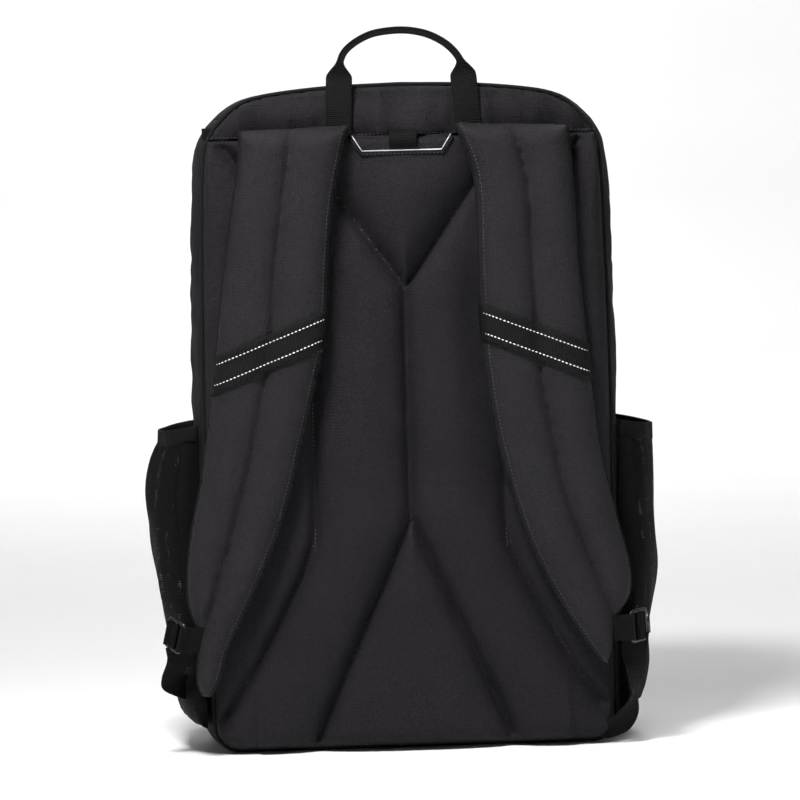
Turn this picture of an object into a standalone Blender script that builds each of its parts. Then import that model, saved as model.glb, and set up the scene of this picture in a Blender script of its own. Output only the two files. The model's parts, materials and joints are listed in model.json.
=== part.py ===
"""Racket backpack, built as an assembly of separate sub-parts.

The harness side faces -Y, +X is to the right of someone who looks at the harness, +Z is up, and the origin is
the centre of the flat base. Lengths are in metres.
"""

import math

import bmesh
import bpy
from mathutils import Matrix, Vector

# The shell
BODY_HEIGHT = 0.5085
BASE_HALF = 0.134
CORNER_RADIUS = 0.021
BACK_Y = -0.0970
ZIP_Y = 0.0
FRONT_Y = 0.0660
SIDE_BULGE = 0.0100
FRONT_TAPER = 0.003
FRONT_DROP = 0.030
CLOTH = 0.0012
GAP = 0.0004
BASE_FLANGE_Z = 0.035
TOP_SEAM_X = 0.1395
PANEL_INSET = 0.0052
PIPING_RADIUS = 0.0015
DIVIDER_Y = 0.0320

# The harness side, from the back panel outwards
PANEL_OUTER_Y = -0.1000
PAD_OUTER_Y = -0.1135
YOKE_OUTER_Y = -0.1060
YOKE_SEAM_Z = 0.4677
PAD_TOP_Z = 0.4662
STRAP_INNER_Y = -0.1160
STRAP_THICK = 0.0130
LINING_THICK = 0.0018
STRAP_OUTER_Y = STRAP_INNER_Y - LINING_THICK - STRAP_THICK - 2 * GAP

# Webbing, ladder locks and bands
WEBBING_WIDTH = 0.020
WEBBING_THICK = 0.0014
LOCK_WIDTH = 0.0255
LOCK_LENGTH = 0.0210
LOCK_THICK = 0.0030
LOCK_BAR = 0.0032

# The front: racket flap and accessory pocket
FLAP_HALF = 0.118
FLAP_BOTTOM_Z = 0.230
FLAP_TOP_Z = 0.452
FLAP_CORNER = 0.055
FRONT_THICK = 0.0025
POCKET_HALF = 0.115
POCKET_BOTTOM_Z = 0.034
POCKET_TOP_Z = 0.195
POCKET_DEPTH = 0.0265

# The right half of the back seam above the corner arc, from the side up to the top centre, as x and z
SEAM_SIDE = ((0.1550, 0.0210), (0.1560, 0.1400), (0.1565, 0.2650), (0.1550, 0.3700), (0.1520, 0.4500),
             (0.1460, 0.4720), (0.1370, 0.4840), (0.1250, 0.4945), (0.1080, 0.5010), (0.0600, 0.5065),
             (0.0000, BODY_HEIGHT))

# Quilting seams of the right half of the back panel, as x and z
SEAM_Y_ARM = ((0.0000, 0.3536), (0.0524, 0.4265), (0.0820, PAD_TOP_Z))
SEAM_LOWER = ((0.0000, 0.1775), (0.0200, 0.1310), (0.0350, 0.0985), (0.0536, 0.0570), (0.0737, 0.0140))
SEAM_SIDE_LOBE = ((0.1355, 0.4640), (0.1265, 0.4500), (0.0760, 0.3800), (0.0730, 0.3570), (0.0730, 0.1710),
                  (0.0755, 0.1580), (0.0845, 0.1340), (0.1035, 0.0970), (0.1208, 0.0660), (0.1400, 0.0330))

# Edges of the shoulder straps from the top down, as x and z; the two hang a little differently
LEFT_STRAP_OUTER = ((-0.1227, 0.4747), (-0.1240, 0.4490), (-0.1355, 0.3780), (-0.1480, 0.2830),
                    (-0.1572, 0.2180), (-0.1685, 0.1630), (-0.1712, 0.1245), (-0.1675, 0.1050),
                    (-0.1635, 0.0920), (-0.1650, 0.0700), (-0.1610, 0.0450))
LEFT_STRAP_INNER = ((-0.0400, 0.4770), (-0.0520, 0.4260), (-0.0577, 0.3760), (-0.0620, 0.3200),
                    (-0.0698, 0.2850), (-0.0810, 0.2400), (-0.0976, 0.1800), (-0.1200, 0.1270),
                    (-0.1464, 0.0760), (-0.1590, 0.0480))
RIGHT_STRAP_OUTER = ((0.1250, 0.4737), (0.1287, 0.4405), (0.1320, 0.3710), (0.1376, 0.3020),
                     (0.1440, 0.2335), (0.1548, 0.1810), (0.1648, 0.1390), (0.1650, 0.1180),
                     (0.1590, 0.1060), (0.1530, 0.0960), (0.1505, 0.0760), (0.1460, 0.0620))
RIGHT_STRAP_INNER = ((0.0410, 0.4770), (0.0545, 0.4340), (0.0560, 0.3730), (0.0575, 0.3120),
                     (0.0640, 0.2550), (0.0750, 0.2030), (0.0897, 0.1570), (0.1097, 0.1140),
                     (0.1310, 0.0790), (0.1420, 0.0640))

PARTS = bpy.data.collections.new("racket_backpack")
CUTTERS = bpy.data.collections.new("cutters")


# Materials -------------------------------------------------------------------------------------------------

def make_material(name, colour, roughness, metallic=0.0):
    material = bpy.data.materials.new(name)
    material.use_nodes = True
    shader = material.node_tree.nodes["Principled BSDF"]
    shader.inputs["Base Color"].default_value = (*colour, 1.0)
    shader.inputs["Roughness"].default_value = roughness
    shader.inputs["Metallic"].default_value = metallic
    return material


def polyester(name):
    return make_material(name, (0.034, 0.031, 0.035), 0.82)


def webbing_cloth(name):
    return make_material(name, (0.014, 0.014, 0.015), 0.70)


def moulded_plastic(name):
    return make_material(name, (0.010, 0.010, 0.012), 0.28)


def zip_metal(name):
    return make_material(name, (0.020, 0.020, 0.022), 0.35, 0.8)


# Making objects --------------------------------------------------------------------------------------------

def add_part(name, data, material):
    obj = bpy.data.objects.new(name, data)
    PARTS.objects.link(obj)
    data.materials.append(material)
    return obj


def smooth_path(points, step):
    """Points every step or so along a smooth curve through the given points."""
    ends = [Vector(p) for p in points]
    padded = [2 * ends[0] - ends[1], *ends, 2 * ends[-1] - ends[-2]]
    path = [ends[0]]
    for a, b, c, d in zip(padded, padded[1:], padded[2:], padded[3:]):
        count = max(1, round((c - b).length / step))
        for i in range(1, count + 1):
            t = i / count
            path.append(0.5 * (2 * b + t * (c - a) + t * t * (2 * a - 5 * b + 4 * c - d)
                               + t * t * t * (3 * b - 3 * c + d - a)))
    return path


def flat_curve(name, outlines, thickness):
    """A 2D curve of closed outlines, later ones being holes, extruded to the thickness."""
    curve = bpy.data.curves.new(name, "CURVE")
    curve.dimensions = "2D"
    curve.fill_mode = "BOTH"
    curve.extrude = thickness / 2
    for outline in outlines:
        spline = curve.splines.new("POLY")
        spline.points.add(len(outline) - 1)
        for point, place in zip(spline.points, outline):
            point.co = (place[0], place[1], 0.0, 1.0)
        spline.use_cyclic_u = True
    return curve


def plate(name, outlines, y_near, y_far, material):
    """An upright plate between two depths; each outline is a list of x and z."""
    curve = flat_curve(name, outlines, abs(y_far - y_near))
    obj = add_part(name, curve, material)
    obj.location = (0.0, (y_near + y_far) / 2, 0.0)
    obj.rotation_euler = (math.pi / 2, 0.0, 0.0)
    return obj


def as_mesh(obj):
    """Replace a curve object by its welded mesh, so that it can be cut or joined."""
    bpy.context.view_layer.update()
    graph = bpy.context.evaluated_depsgraph_get()
    mesh = bpy.data.meshes.new_from_object(obj.evaluated_get(graph))
    work = bmesh.new()
    work.from_mesh(mesh)
    bmesh.ops.remove_doubles(work, verts=work.verts, dist=0.00001)
    work.to_mesh(mesh)
    work.free()
    solid = bpy.data.objects.new(obj.name, mesh)
    solid.matrix_world = obj.matrix_world.copy()
    PARTS.objects.link(solid)
    name = obj.name
    bpy.data.objects.remove(obj)
    solid.name = name
    return solid


def shell(name, rows, thickness, material):
    """A cloth shell: an open grid of points, thickened inwards."""
    work = bmesh.new()
    grid = [[work.verts.new(p) for p in row] for row in rows]
    for low, high in zip(grid, grid[1:]):
        for a, b, c, d in zip(low, low[1:], high[1:], high):
            work.faces.new((a, d, c, b))
    mesh = bpy.data.meshes.new(name)
    work.to_mesh(mesh)
    work.free()
    mesh.shade_smooth()
    obj = add_part(name, mesh, material)
    solidify = obj.modifiers.new("cloth", "SOLIDIFY")
    solidify.thickness = thickness
    solidify.offset = -1.0
    solidify.use_even_offset = True
    return obj


def tube(name, points, radius, material, closed=False):
    curve = bpy.data.curves.new(name, "CURVE")
    curve.dimensions = "3D"
    curve.bevel_depth = radius
    curve.bevel_resolution = 1
    curve.use_fill_caps = True
    spline = curve.splines.new("POLY")
    spline.points.add(len(points) - 1)
    for point, place in zip(spline.points, points):
        point.co = (*place, 1.0)
    spline.use_cyclic_u = closed
    return add_part(name, curve, material)


def block_mesh(name, low, high, bevel=0.0):
    work = bmesh.new()
    bmesh.ops.create_cube(work, size=1.0)
    size = Vector(high) - Vector(low)
    bmesh.ops.scale(work, vec=size, verts=work.verts)
    bmesh.ops.translate(work, vec=(Vector(high) + Vector(low)) / 2, verts=work.verts)
    if bevel:
        bmesh.ops.bevel(work, geom=work.edges[:], offset=bevel, segments=2, profile=0.5, affect="EDGES")
    mesh = bpy.data.meshes.new(name)
    work.to_mesh(mesh)
    work.free()
    return mesh


def cut(obj, cutter, operation="DIFFERENCE"):
    """Cut or join an object with a mesh object, which moves to the cutters."""
    PARTS.objects.unlink(cutter)
    CUTTERS.objects.link(cutter)
    cutter.hide_render = True
    cutter.display_type = "WIRE"
    boolean = obj.modifiers.new(operation.lower(), "BOOLEAN")
    boolean.object = cutter
    boolean.operation = operation
    boolean.solver = "EXACT"


def thick_line(path, thickness):
    """The closed outline of a strip of webbing seen edge-on along a path of 2D points."""
    points = [Vector(p) for p in path]
    left = []
    right = []
    for i, point in enumerate(points):
        ahead = points[min(i + 1, len(points) - 1)]
        behind = points[max(i - 1, 0)]
        along = (ahead - behind).normalized()
        side = Vector((-along.y, along.x)) * thickness / 2
        left.append(point + side)
        right.append(point - side)
    return left + right[::-1]


# The shell's surface ---------------------------------------------------------------------------------------

def seam_half():
    """The back seam's right half from the bottom centre to the top centre."""
    arc = []
    for i in range(1, 5):
        angle = -math.pi / 2 + i * math.pi / 10
        across = BASE_HALF + CORNER_RADIUS * math.cos(angle)
        arc.append((across, CORNER_RADIUS + CORNER_RADIUS * math.sin(angle)))
    straight = [(BASE_HALF * i / 4, 0.0) for i in range(5)]
    side = smooth_path(SEAM_SIDE, 0.022)
    return [Vector(p) for p in (*straight, *arc, *side)]


SEAM = seam_half()
LENGTHS = [0.0]
for near, far in zip(SEAM, SEAM[1:]):
    LENGTHS.append(LENGTHS[-1] + (far - near).length)
SEAM_LENGTH = LENGTHS[-1]


def seam_at(s):
    """The point at a distance s along the seam from the bottom centre, to the right if s is positive."""
    s = (s + SEAM_LENGTH) % (2 * SEAM_LENGTH) - SEAM_LENGTH
    distance = abs(s)
    for i in range(len(SEAM) - 1):
        if distance <= LENGTHS[i + 1] or i == len(SEAM) - 2:
            share = (distance - LENGTHS[i]) / (LENGTHS[i + 1] - LENGTHS[i])
            point = SEAM[i].lerp(SEAM[i + 1], min(share, 1.0))
            return Vector((math.copysign(point.x, s), point.y))


def length_where(test):
    """The distance along the right half at which a test on the point first holds."""
    steps = 2000
    for i in range(steps):
        s = SEAM_LENGTH * i / steps
        if test(seam_at(s)):
            return s


def ease(t):
    t = min(max(t, 0.0), 1.0)
    return t * t * (3 - 2 * t)


def at_depth(point, y):
    """A point of the back seam carried to a depth, where the sides bulge and the top falls to the front."""
    t = (y - BACK_Y) / (FRONT_Y - BACK_Y)
    t = min(max(t, 0.0), 1.0)
    bulge = SIDE_BULGE * math.sin(math.pi * t ** 0.75) - FRONT_TAPER * t
    drop = FRONT_DROP * t * t - 0.004 * math.sin(math.pi * t)
    x = point.x * (1 + bulge / 0.155)
    z = point.y - drop * ease((point.y - 0.25) / 0.24)
    return Vector((x, y, z))


def depths(y_near, y_far, count):
    return [y_near + (y_far - y_near) * i / count for i in range(count + 1)]


def band(name, s_start, s_end, count, y_near, y_far, rows, material, thickness=CLOTH):
    """A strip of the shell between two distances along the seam and two depths."""
    stations = [s_start + (s_end - s_start) * i / count for i in range(count + 1)]
    grid = []
    for y in depths(y_near, y_far, rows):
        grid.append([at_depth(seam_at(s), y) for s in stations])
    return shell(name, grid, thickness, material)


def inset_outline(inset, y, step=0.020):
    """The shell's outline at a depth, closed, moved in by an inset."""
    count = round(2 * SEAM_LENGTH / step)
    ring = [at_depth(seam_at(-SEAM_LENGTH + 2 * SEAM_LENGTH * i / count), y) for i in range(count)]
    outline = []
    for i, point in enumerate(ring):
        along = (ring[(i + 1) % count] - ring[i - 1]).normalized()
        outline.append((point.x - along.z * inset, point.z + along.x * inset))
    return outline


# Sub-parts of the shell ------------------------------------------------------------------------------------

S_FLANGE = length_where(lambda p: p.y > BASE_FLANGE_Z)
S_TOP_SEAM = length_where(lambda p: p.x < TOP_SEAM_X and p.y > 0.4)
REAR_BAND = (BACK_Y + 0.0002, ZIP_Y - 0.0042)
LID_BAND = (ZIP_Y + 0.0042, FRONT_Y - 0.0015)


def shell_bands():
    band("bottom_panel", -S_FLANGE, S_FLANGE, 30, REAR_BAND[0], LID_BAND[1], 10, polyester("bottom_panel"))
    for prefix, (y_near, y_far) in (("rear", REAR_BAND), ("lid", LID_BAND)):
        low = S_FLANGE + GAP
        high = S_TOP_SEAM - GAP
        band(f"{prefix}_gusset_right", low, high, 14, y_near, y_far, 5, polyester(f"{prefix}_gusset_right"))
        band(f"{prefix}_gusset_left", -high, -low, 14, y_near, y_far, 5, polyester(f"{prefix}_gusset_left"))
        over = 2 * SEAM_LENGTH - S_TOP_SEAM - GAP
        band(f"{prefix}_gusset_top", S_TOP_SEAM + GAP, over, 14, y_near, y_far, 5,
             polyester(f"{prefix}_gusset_top"))


def zip_tapes():
    """The two halves of the main zip, from flange to flange over the top."""
    start = S_FLANGE + 0.004
    end = 2 * SEAM_LENGTH - start
    coil = 0.0003
    half = 0.0033
    band("main_zip_rear_tape", start, end, 46, ZIP_Y - coil - half, ZIP_Y - coil, 1,
         webbing_cloth("main_zip_rear_tape"), 0.0016)
    band("main_zip_front_tape", start, end, 46, ZIP_Y + coil, ZIP_Y + coil + half, 1,
         webbing_cloth("main_zip_front_tape"), 0.0016)


def piping(name, y):
    ring = [(x, y, z) for x, z in inset_outline(PIPING_RADIUS + 0.0004, y, 0.016)]
    tube(name, ring, PIPING_RADIUS, webbing_cloth(name), closed=True)


def back_panels():
    plate("back_panel", [inset_outline(PANEL_INSET, BACK_Y)], PANEL_OUTER_Y, PANEL_OUTER_Y + 0.0025,
          polyester("back_panel"))
    plate("frame_sheet", [inset_outline(0.009, BACK_Y)], BACK_Y + 0.0004, BACK_Y + 0.0024,
          moulded_plastic("frame_sheet"))


# The harness side ------------------------------------------------------------------------------------------

def mirrored(points):
    return [(-x, z) for x, z in points]


def shifted(points, dx):
    return [(x + dx, z) for x, z in points]


def pad(name, outline):
    plate(name, [outline], PANEL_OUTER_Y - 0.0003, PAD_OUTER_Y, polyester(name))


def back_pads():
    """The lobes that the quilting divides the back padding into, half a seam's width apart."""
    half = 0.0006
    top = PAD_TOP_Z
    arm = shifted(SEAM_Y_ARM, -half)
    arm[0] = (0.0, 0.3536 + 2 * half)
    recess = [(0.0375, top), (0.0330, 0.4560)]
    upper = arm + recess
    pad("pad_upper", upper + mirrored(upper[1:])[::-1])

    lower = shifted(SEAM_LOWER, -half)
    lower[0] = (0.0, 0.1775 - 3 * half)
    lower.append((0.0760, 0.0070))
    pad("pad_lower", lower + mirrored(lower[1:])[::-1])

    edge = [p for p in inset_outline(0.0060, BACK_Y, 0.012) if p[0] > 0.1 and 0.0335 < p[1] < top - 0.002]
    side_lobe = shifted(SEAM_SIDE_LOBE, half)
    lobe = side_lobe + edge

    centre = [(half, 0.3536), *shifted(SEAM_Y_ARM[1:], half), (0.1355, top)]
    centre += shifted(SEAM_SIDE_LOBE, -half)
    centre += [(0.1340, 0.0110), (0.1220, 0.0070), (0.0782, 0.0070)]
    centre += shifted(SEAM_LOWER, half)[::-1]
    for side, place in (("right", lambda p: p), ("left", mirrored)):
        pad(f"pad_side_{side}", place(lobe))
        pad(f"pad_centre_{side}", place(centre))


def yoke():
    outline = [p for p in inset_outline(0.0060, BACK_Y, 0.012) if p[1] > YOKE_SEAM_Z + 0.002]
    right = sorted((p for p in outline if p[0] > 0), key=lambda p: p[1])
    left = sorted((p for p in outline if p[0] <= 0), key=lambda p: -p[1])
    base = YOKE_SEAM_Z + 0.0006
    outline = [(0.1430, base), *right, *left, (-0.1430, base)]
    plate("yoke_panel", [outline], PANEL_OUTER_Y - 0.0003, YOKE_OUTER_Y, polyester("yoke_panel"))
    recess = [(0.0360, 0.4668), (0.0295, 0.4582)]
    plate("recess_panel", [recess + mirrored(recess)[::-1]], PANEL_OUTER_Y - 0.0003, -0.1085,
          polyester("recess_panel"))
    outer = [(0.0372, 0.4668), (0.0315, 0.4563)]
    inner = [(0.0340, 0.4668), (0.0290, 0.4593)]
    line = outer + mirrored(outer)[::-1] + mirrored(inner) + inner[::-1]
    silver = make_material("reflective_trim", (0.60, 0.59, 0.62), 0.35)
    plate("reflective_trim", [line], -0.1137, -0.1145, silver)


def hang_loop():
    path = [(-0.1150, 0.4575), (-0.1178, 0.4600), (-0.1200, 0.4645), (-0.1178, 0.4688), (-0.1120, 0.4712),
            (-0.1070, 0.4716)]
    side_view = thick_line(smooth_path(path, 0.002), WEBBING_THICK)
    curve = flat_curve("hang_loop", [side_view], 0.021)
    obj = add_part("hang_loop", curve, webbing_cloth("hang_loop"))
    obj.matrix_world = Matrix(((0, 0, 1, 0.001), (1, 0, 0, 0), (0, 1, 0, 0), (0, 0, 0, 1)))


HANDLE_HINGE = Vector((0.0, -0.1090, 0.5125))


def carry_handle():
    """Two legs sewn down on the yoke, and the free arch of folded webbing that turns about their top ends."""
    for side, low, high in (("left", -0.0470, -0.0455), ("right", 0.0515, 0.0478)):
        half = WEBBING_WIDTH / 2
        outline = [(low - half, 0.4760), (low + half, 0.4760), (high + half, 0.5080), (high - half, 0.5080)]
        plate(f"handle_leg_{side}", [outline], YOKE_OUTER_Y - 0.0003, YOKE_OUTER_Y - 0.0027,
              webbing_cloth(f"handle_leg_{side}"))
    outer = [(-0.0530, 0.5120), (-0.0470, 0.5250), (-0.0430, 0.5350), (-0.0325, 0.5430), (-0.0195, 0.5485),
             (0.0, 0.5510), (0.0180, 0.5490), (0.0300, 0.5430), (0.0400, 0.5350), (0.0470, 0.5250),
             (0.0560, 0.5120)]
    inner = [(-0.0380, 0.5120), (-0.0408, 0.5250), (-0.0370, 0.5330), (-0.0280, 0.5400), (-0.0170, 0.5440),
             (0.0, 0.5460), (0.0150, 0.5445), (0.0260, 0.5395), (0.0340, 0.5330), (0.0405, 0.5250),
             (0.0400, 0.5120)]
    arch = smooth_path(outer, 0.006) + smooth_path(inner, 0.006)[::-1]
    near = HANDLE_HINGE.y - 0.0030
    far = HANDLE_HINGE.y + 0.0030
    plate("carry_handle", [arch], near, far, webbing_cloth("carry_handle"))


# Shoulder straps -------------------------------------------------------------------------------------------

def strap_layer(name, outer, inner, y_near, y_far, material):
    outline = smooth_path(outer, 0.016) + smooth_path(inner, 0.016)[::-1]
    return plate(name, [outline], y_near, y_far, material)


def reflective_band(name, inner_end, outer_end):
    """A flat band across the front of a strap."""
    along = Vector(outer_end) - Vector(inner_end)
    side = Vector((-along.y, along.x)).normalized() * 0.0125
    inner = Vector(inner_end)
    outer = Vector(outer_end)
    ends = [inner + side, outer + side, outer - side, inner - side]
    plate(name, [ends], STRAP_OUTER_Y - 0.0004, STRAP_OUTER_Y - 0.0016, webbing_cloth(name))


def ladder_lock(name, centre, yaw, roll):
    """A moulded frame with three upright bars, which webbing threads through."""
    width = LOCK_WIDTH / 2
    length = LOCK_LENGTH / 2
    corner = 0.002
    frame = []
    for sx, sy in ((1, 1), (-1, 1), (-1, -1), (1, -1)):
        near = (sx * length, sy * (width - corner))
        far = (sx * (length - corner), sy * width)
        frame += [near, far] if sx == sy else [far, near]
    slot = (LOCK_LENGTH - 3 * LOCK_BAR) / 2
    slots = []
    for start in (-length + LOCK_BAR, LOCK_BAR / 2):
        high = width - 0.0026
        slots.append([(start, -high), (start + slot, -high), (start + slot, high), (start, high)])
    curve = flat_curve(name, [frame, *slots], LOCK_THICK)
    obj = add_part(name, curve, moulded_plastic(name))
    upright = Matrix.Rotation(math.pi / 2, 4, "X")
    turned = Matrix.Rotation(yaw, 4, "Z") @ Matrix.Rotation(roll, 4, "Y")
    obj.matrix_world = Matrix.Translation(centre) @ turned @ upright
    return obj


def ribbon(name, centres, across, width, thickness, material):
    """A strip of webbing along a 3D path; across is its width direction at each point."""
    rows = []
    path = smooth_path(centres, 0.008)
    turns = smooth_path(across, 0.4)
    for i, point in enumerate(path):
        share = i / (len(path) - 1) * (len(turns) - 1)
        low = min(int(share), len(turns) - 2)
        side = turns[low].lerp(turns[low + 1], share - low).normalized() * width / 2
        rows.append([point - side, point, point + side])
    return shell(name, rows, thickness, material)


LOCK_CENTRES = {"right": Vector((0.1715, -0.1180, 0.0910)), "left": Vector((-0.1820, -0.1180, 0.0940))}
LOCK_YAW = {"right": math.radians(45), "left": math.radians(180 - 50)}
LOCK_ROLL = {"right": math.radians(-4), "left": math.radians(-20)}


def strap_end(side, start):
    """Doubled webbing from the strap's end to the ladder lock, which it stops just short of."""
    lock = LOCK_CENTRES[side]
    towards = Vector((math.cos(LOCK_YAW[side]), math.sin(LOCK_YAW[side]), 0.0))
    end = lock - towards * (LOCK_LENGTH / 2 + 0.0045)
    path = [start, start.lerp(end, 0.5), end]
    turn = Matrix.Rotation(LOCK_YAW[side], 3, "Z") @ Matrix.Rotation(LOCK_ROLL[side], 3, "Y")
    up = turn @ Vector((0.0, 0.0, 1.0))
    ribbon(f"strap_end_webbing_{side}", path, [up, up], WEBBING_WIDTH, 0.0026,
           webbing_cloth(f"strap_end_webbing_{side}"))


def adjuster(side, centres, across):
    name = f"adjuster_webbing_{side}"
    ribbon(name, centres, across, WEBBING_WIDTH, WEBBING_THICK, webbing_cloth(name))


def shoulder_straps():
    edges = {"left": (LEFT_STRAP_OUTER, LEFT_STRAP_INNER), "right": (RIGHT_STRAP_OUTER, RIGHT_STRAP_INNER)}
    bands = {"left": ((-0.0580, 0.3253), (-0.1440, 0.2917)), "right": ((0.0560, 0.3261), (0.1380, 0.2941))}
    foam_inner = STRAP_INNER_Y - LINING_THICK - GAP
    for side, (outer, inner) in edges.items():
        name = f"strap_lining_{side}"
        strap_layer(name, outer, inner, STRAP_INNER_Y, STRAP_INNER_Y - LINING_THICK, webbing_cloth(name))
        name = f"shoulder_strap_{side}"
        strap_layer(name, outer, inner, foam_inner, foam_inner - STRAP_THICK, polyester(name))
        reflective_band(f"reflective_band_{side}", *bands[side])
        ladder_lock(f"ladder_lock_{side}", LOCK_CENTRES[side], LOCK_YAW[side], LOCK_ROLL[side])
    strap_end("right", Vector((0.1590, -0.1290, 0.0900)))
    strap_end("left", Vector((-0.1697, -0.1290, 0.0930)))


def adjuster_webbing():
    up = Vector((1.0, 0.0, 0.0))
    turned = Vector((0.35, 0.94, 0.0))
    adjuster("right", [(0.1670, -0.1085, 0.0760), (0.1690, -0.1080, 0.0600), (0.1670, -0.1070, 0.0420),
                       (0.1600, -0.1085, 0.0240), (0.1470, -0.1085, 0.0090)],
             [up, turned, turned, Vector((0.8, 0.2, -0.4)), Vector((0.8, 0.0, -0.6))])
    adjuster("left", [(-0.1780, -0.1085, 0.0760), (-0.1830, -0.1080, 0.0620), (-0.1800, -0.1060, 0.0450),
                      (-0.1660, -0.1085, 0.0260), (-0.1480, -0.1085, 0.0100)],
             [up, up, Vector((0.7, 0.6, 0.4)), Vector((0.7, 0.2, 0.6)), Vector((0.8, 0.0, 0.6))])
    for side, sign in (("right", 1), ("left", -1)):
        corners = ((0.1250, 0.0040), (0.1470, 0.0085), (0.1505, 0.0230), (0.1300, 0.0200))
        outline = [(sign * x, z) for x, z in corners]
        plate(f"webbing_anchor_{side}", [outline], PANEL_OUTER_Y - 0.0140, PANEL_OUTER_Y - 0.0160,
              webbing_cloth(f"webbing_anchor_{side}"))


# Side pockets and the tab ----------------------------------------------------------------------------------

POCKET_SEAM_Y = (-0.0880, -0.0080)


def pocket_section(z, out, sign):
    """The net's cross-section at a height: from its rear seam out and round to its front seam."""
    row = []
    count = 12
    base = seam_at(length_where(lambda p: p.y > z)).x
    for i in range(count + 1):
        angle = math.pi * i / count
        y = sum(POCKET_SEAM_Y) / 2 - math.cos(angle) * (POCKET_SEAM_Y[1] - POCKET_SEAM_Y[0]) / 2
        wall = at_depth(Vector((base, z)), y).x + 0.0022
        row.append(Vector((sign * (wall + out * math.sin(angle) ** 0.8), y, z)))
    return row


def mesh_pocket(side, sign, profile, mouth_z):
    """The net shell, open at its mouth, and the elastic that binds the mouth."""
    rows = [pocket_section(z, out, sign) for z, out in profile]
    if sign > 0:
        rows = [row[::-1] for row in rows]
    shell(f"mesh_pocket_{side}", rows, 0.0010, webbing_cloth(f"mesh_pocket_{side}"))
    top_out = profile[-1][1]
    rim = [pocket_section(z, top_out, sign) for z in (mouth_z + GAP, mouth_z + 0.0130)]
    if sign > 0:
        rim = [row[::-1] for row in rim]
    shell(f"pocket_elastic_{side}", rim, 0.0016, webbing_cloth(f"pocket_elastic_{side}"))


def side_pockets():
    left = [(0.022, 0.008), (0.028, 0.014), (0.036, 0.018), (0.055, 0.020), (0.080, 0.022), (0.105, 0.026),
            (0.135, 0.030), (0.170, 0.032), (0.200, 0.033), (0.225, 0.029), (0.238, 0.025)]
    right = [(0.024, 0.008), (0.029, 0.014), (0.036, 0.017), (0.055, 0.020), (0.080, 0.021), (0.100, 0.024),
             (0.135, 0.0275), (0.170, 0.0275), (0.200, 0.0265), (0.225, 0.025), (0.238, 0.024)]
    mesh_pocket("left", -1, left, 0.238)
    mesh_pocket("right", 1, right, 0.238)


def side_tab():
    """A folded webbing tab that sticks out of the left seam beside the yoke."""
    inner = at_depth(seam_at(length_where(lambda p: p.y > 0.469)), -0.0925).x + 0.0003
    low = (-inner - 0.0055, -0.0945, 0.4700)
    high = (-inner, -0.0925, 0.4780)
    add_part("side_tab", block_mesh("side_tab", low, high, 0.0004), webbing_cloth("side_tab"))


# The inside and the front ----------------------------------------------------------------------------------

def open_box(name, low, high, removed, radius, thickness, material):
    """A box-shaped pocket with some faces left open; removed are the outward normals of those faces."""
    work = bmesh.new()
    bmesh.ops.create_cube(work, size=1.0)
    size = Vector(high) - Vector(low)
    bmesh.ops.scale(work, vec=size, verts=work.verts)
    bmesh.ops.translate(work, vec=(Vector(high) + Vector(low)) / 2, verts=work.verts)
    work.normal_update()
    gone = [f for f in work.faces if any(f.normal.dot(Vector(n)) > 0.9 for n in removed)]
    bmesh.ops.delete(work, geom=gone, context="FACES")
    inner = [e for e in work.edges if len(e.link_faces) == 2]
    bmesh.ops.bevel(work, geom=inner, offset=radius, segments=3, profile=0.5, affect="EDGES")
    mesh = bpy.data.meshes.new(name)
    work.to_mesh(mesh)
    work.free()
    obj = add_part(name, mesh, material)
    solidify = obj.modifiers.new("cloth", "SOLIDIFY")
    solidify.thickness = thickness
    solidify.offset = -1.0
    solidify.use_even_offset = True
    return obj


def inside():
    open_box("laptop_sleeve", (-0.1250, BACK_Y + 0.0028, 0.0300), (0.1250, -0.0680, 0.3300),
             [(0, -1, 0), (0, 0, 1)], 0.008, 0.0025, polyester("laptop_sleeve"))
    plate("divider_panel", [inset_outline(0.0060, DIVIDER_Y)], DIVIDER_Y, DIVIDER_Y + 0.0015,
          polyester("divider_panel"))


def flap_outline(clearance):
    """The racket opening's outline: straight at the bottom, with large round corners at the top."""
    half = FLAP_HALF - clearance
    bottom = FLAP_BOTTOM_Z + clearance
    top = FLAP_TOP_Z - clearance
    radius = FLAP_CORNER - clearance
    outline = [(-half, bottom), (half, bottom)]
    for i in range(7):
        angle = i * math.pi / 12
        outline.append((half - radius + radius * math.cos(angle), top - radius + radius * math.sin(angle)))
    return outline + [(-x, z) for x, z in outline[:1:-1]]


def front():
    plate("front_frame", [inset_outline(PANEL_INSET, FRONT_Y), flap_outline(0.0)], FRONT_Y - 0.0005,
          FRONT_Y - 0.0005 + FRONT_THICK, polyester("front_frame"))
    plate("racket_flap", [flap_outline(0.0016)], FRONT_Y - 0.0005, FRONT_Y - 0.0005 + FRONT_THICK,
          polyester("racket_flap"))
    face = FRONT_Y - 0.0005 + FRONT_THICK + GAP
    pocket = open_box("accessory_pocket", (-POCKET_HALF, face, POCKET_BOTTOM_Z),
                      (POCKET_HALF, face + POCKET_DEPTH, POCKET_TOP_Z), [(0, -1, 0)], 0.009, 0.0016,
                      polyester("accessory_pocket"))
    slot_y = face + POCKET_DEPTH / 2
    slot = block_mesh("accessory_zip_slot", (-0.095, slot_y - 0.0024, POCKET_TOP_Z - 0.010),
                      (0.095, slot_y + 0.0024, POCKET_TOP_Z + 0.010))
    cut(pocket, add_part("accessory_zip_slot", slot, webbing_cloth("accessory_zip_slot")))


# Zip sliders -----------------------------------------------------------------------------------------------

PULL_HINGE = Vector((-0.0012, 0.0, 0.0032))


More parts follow.
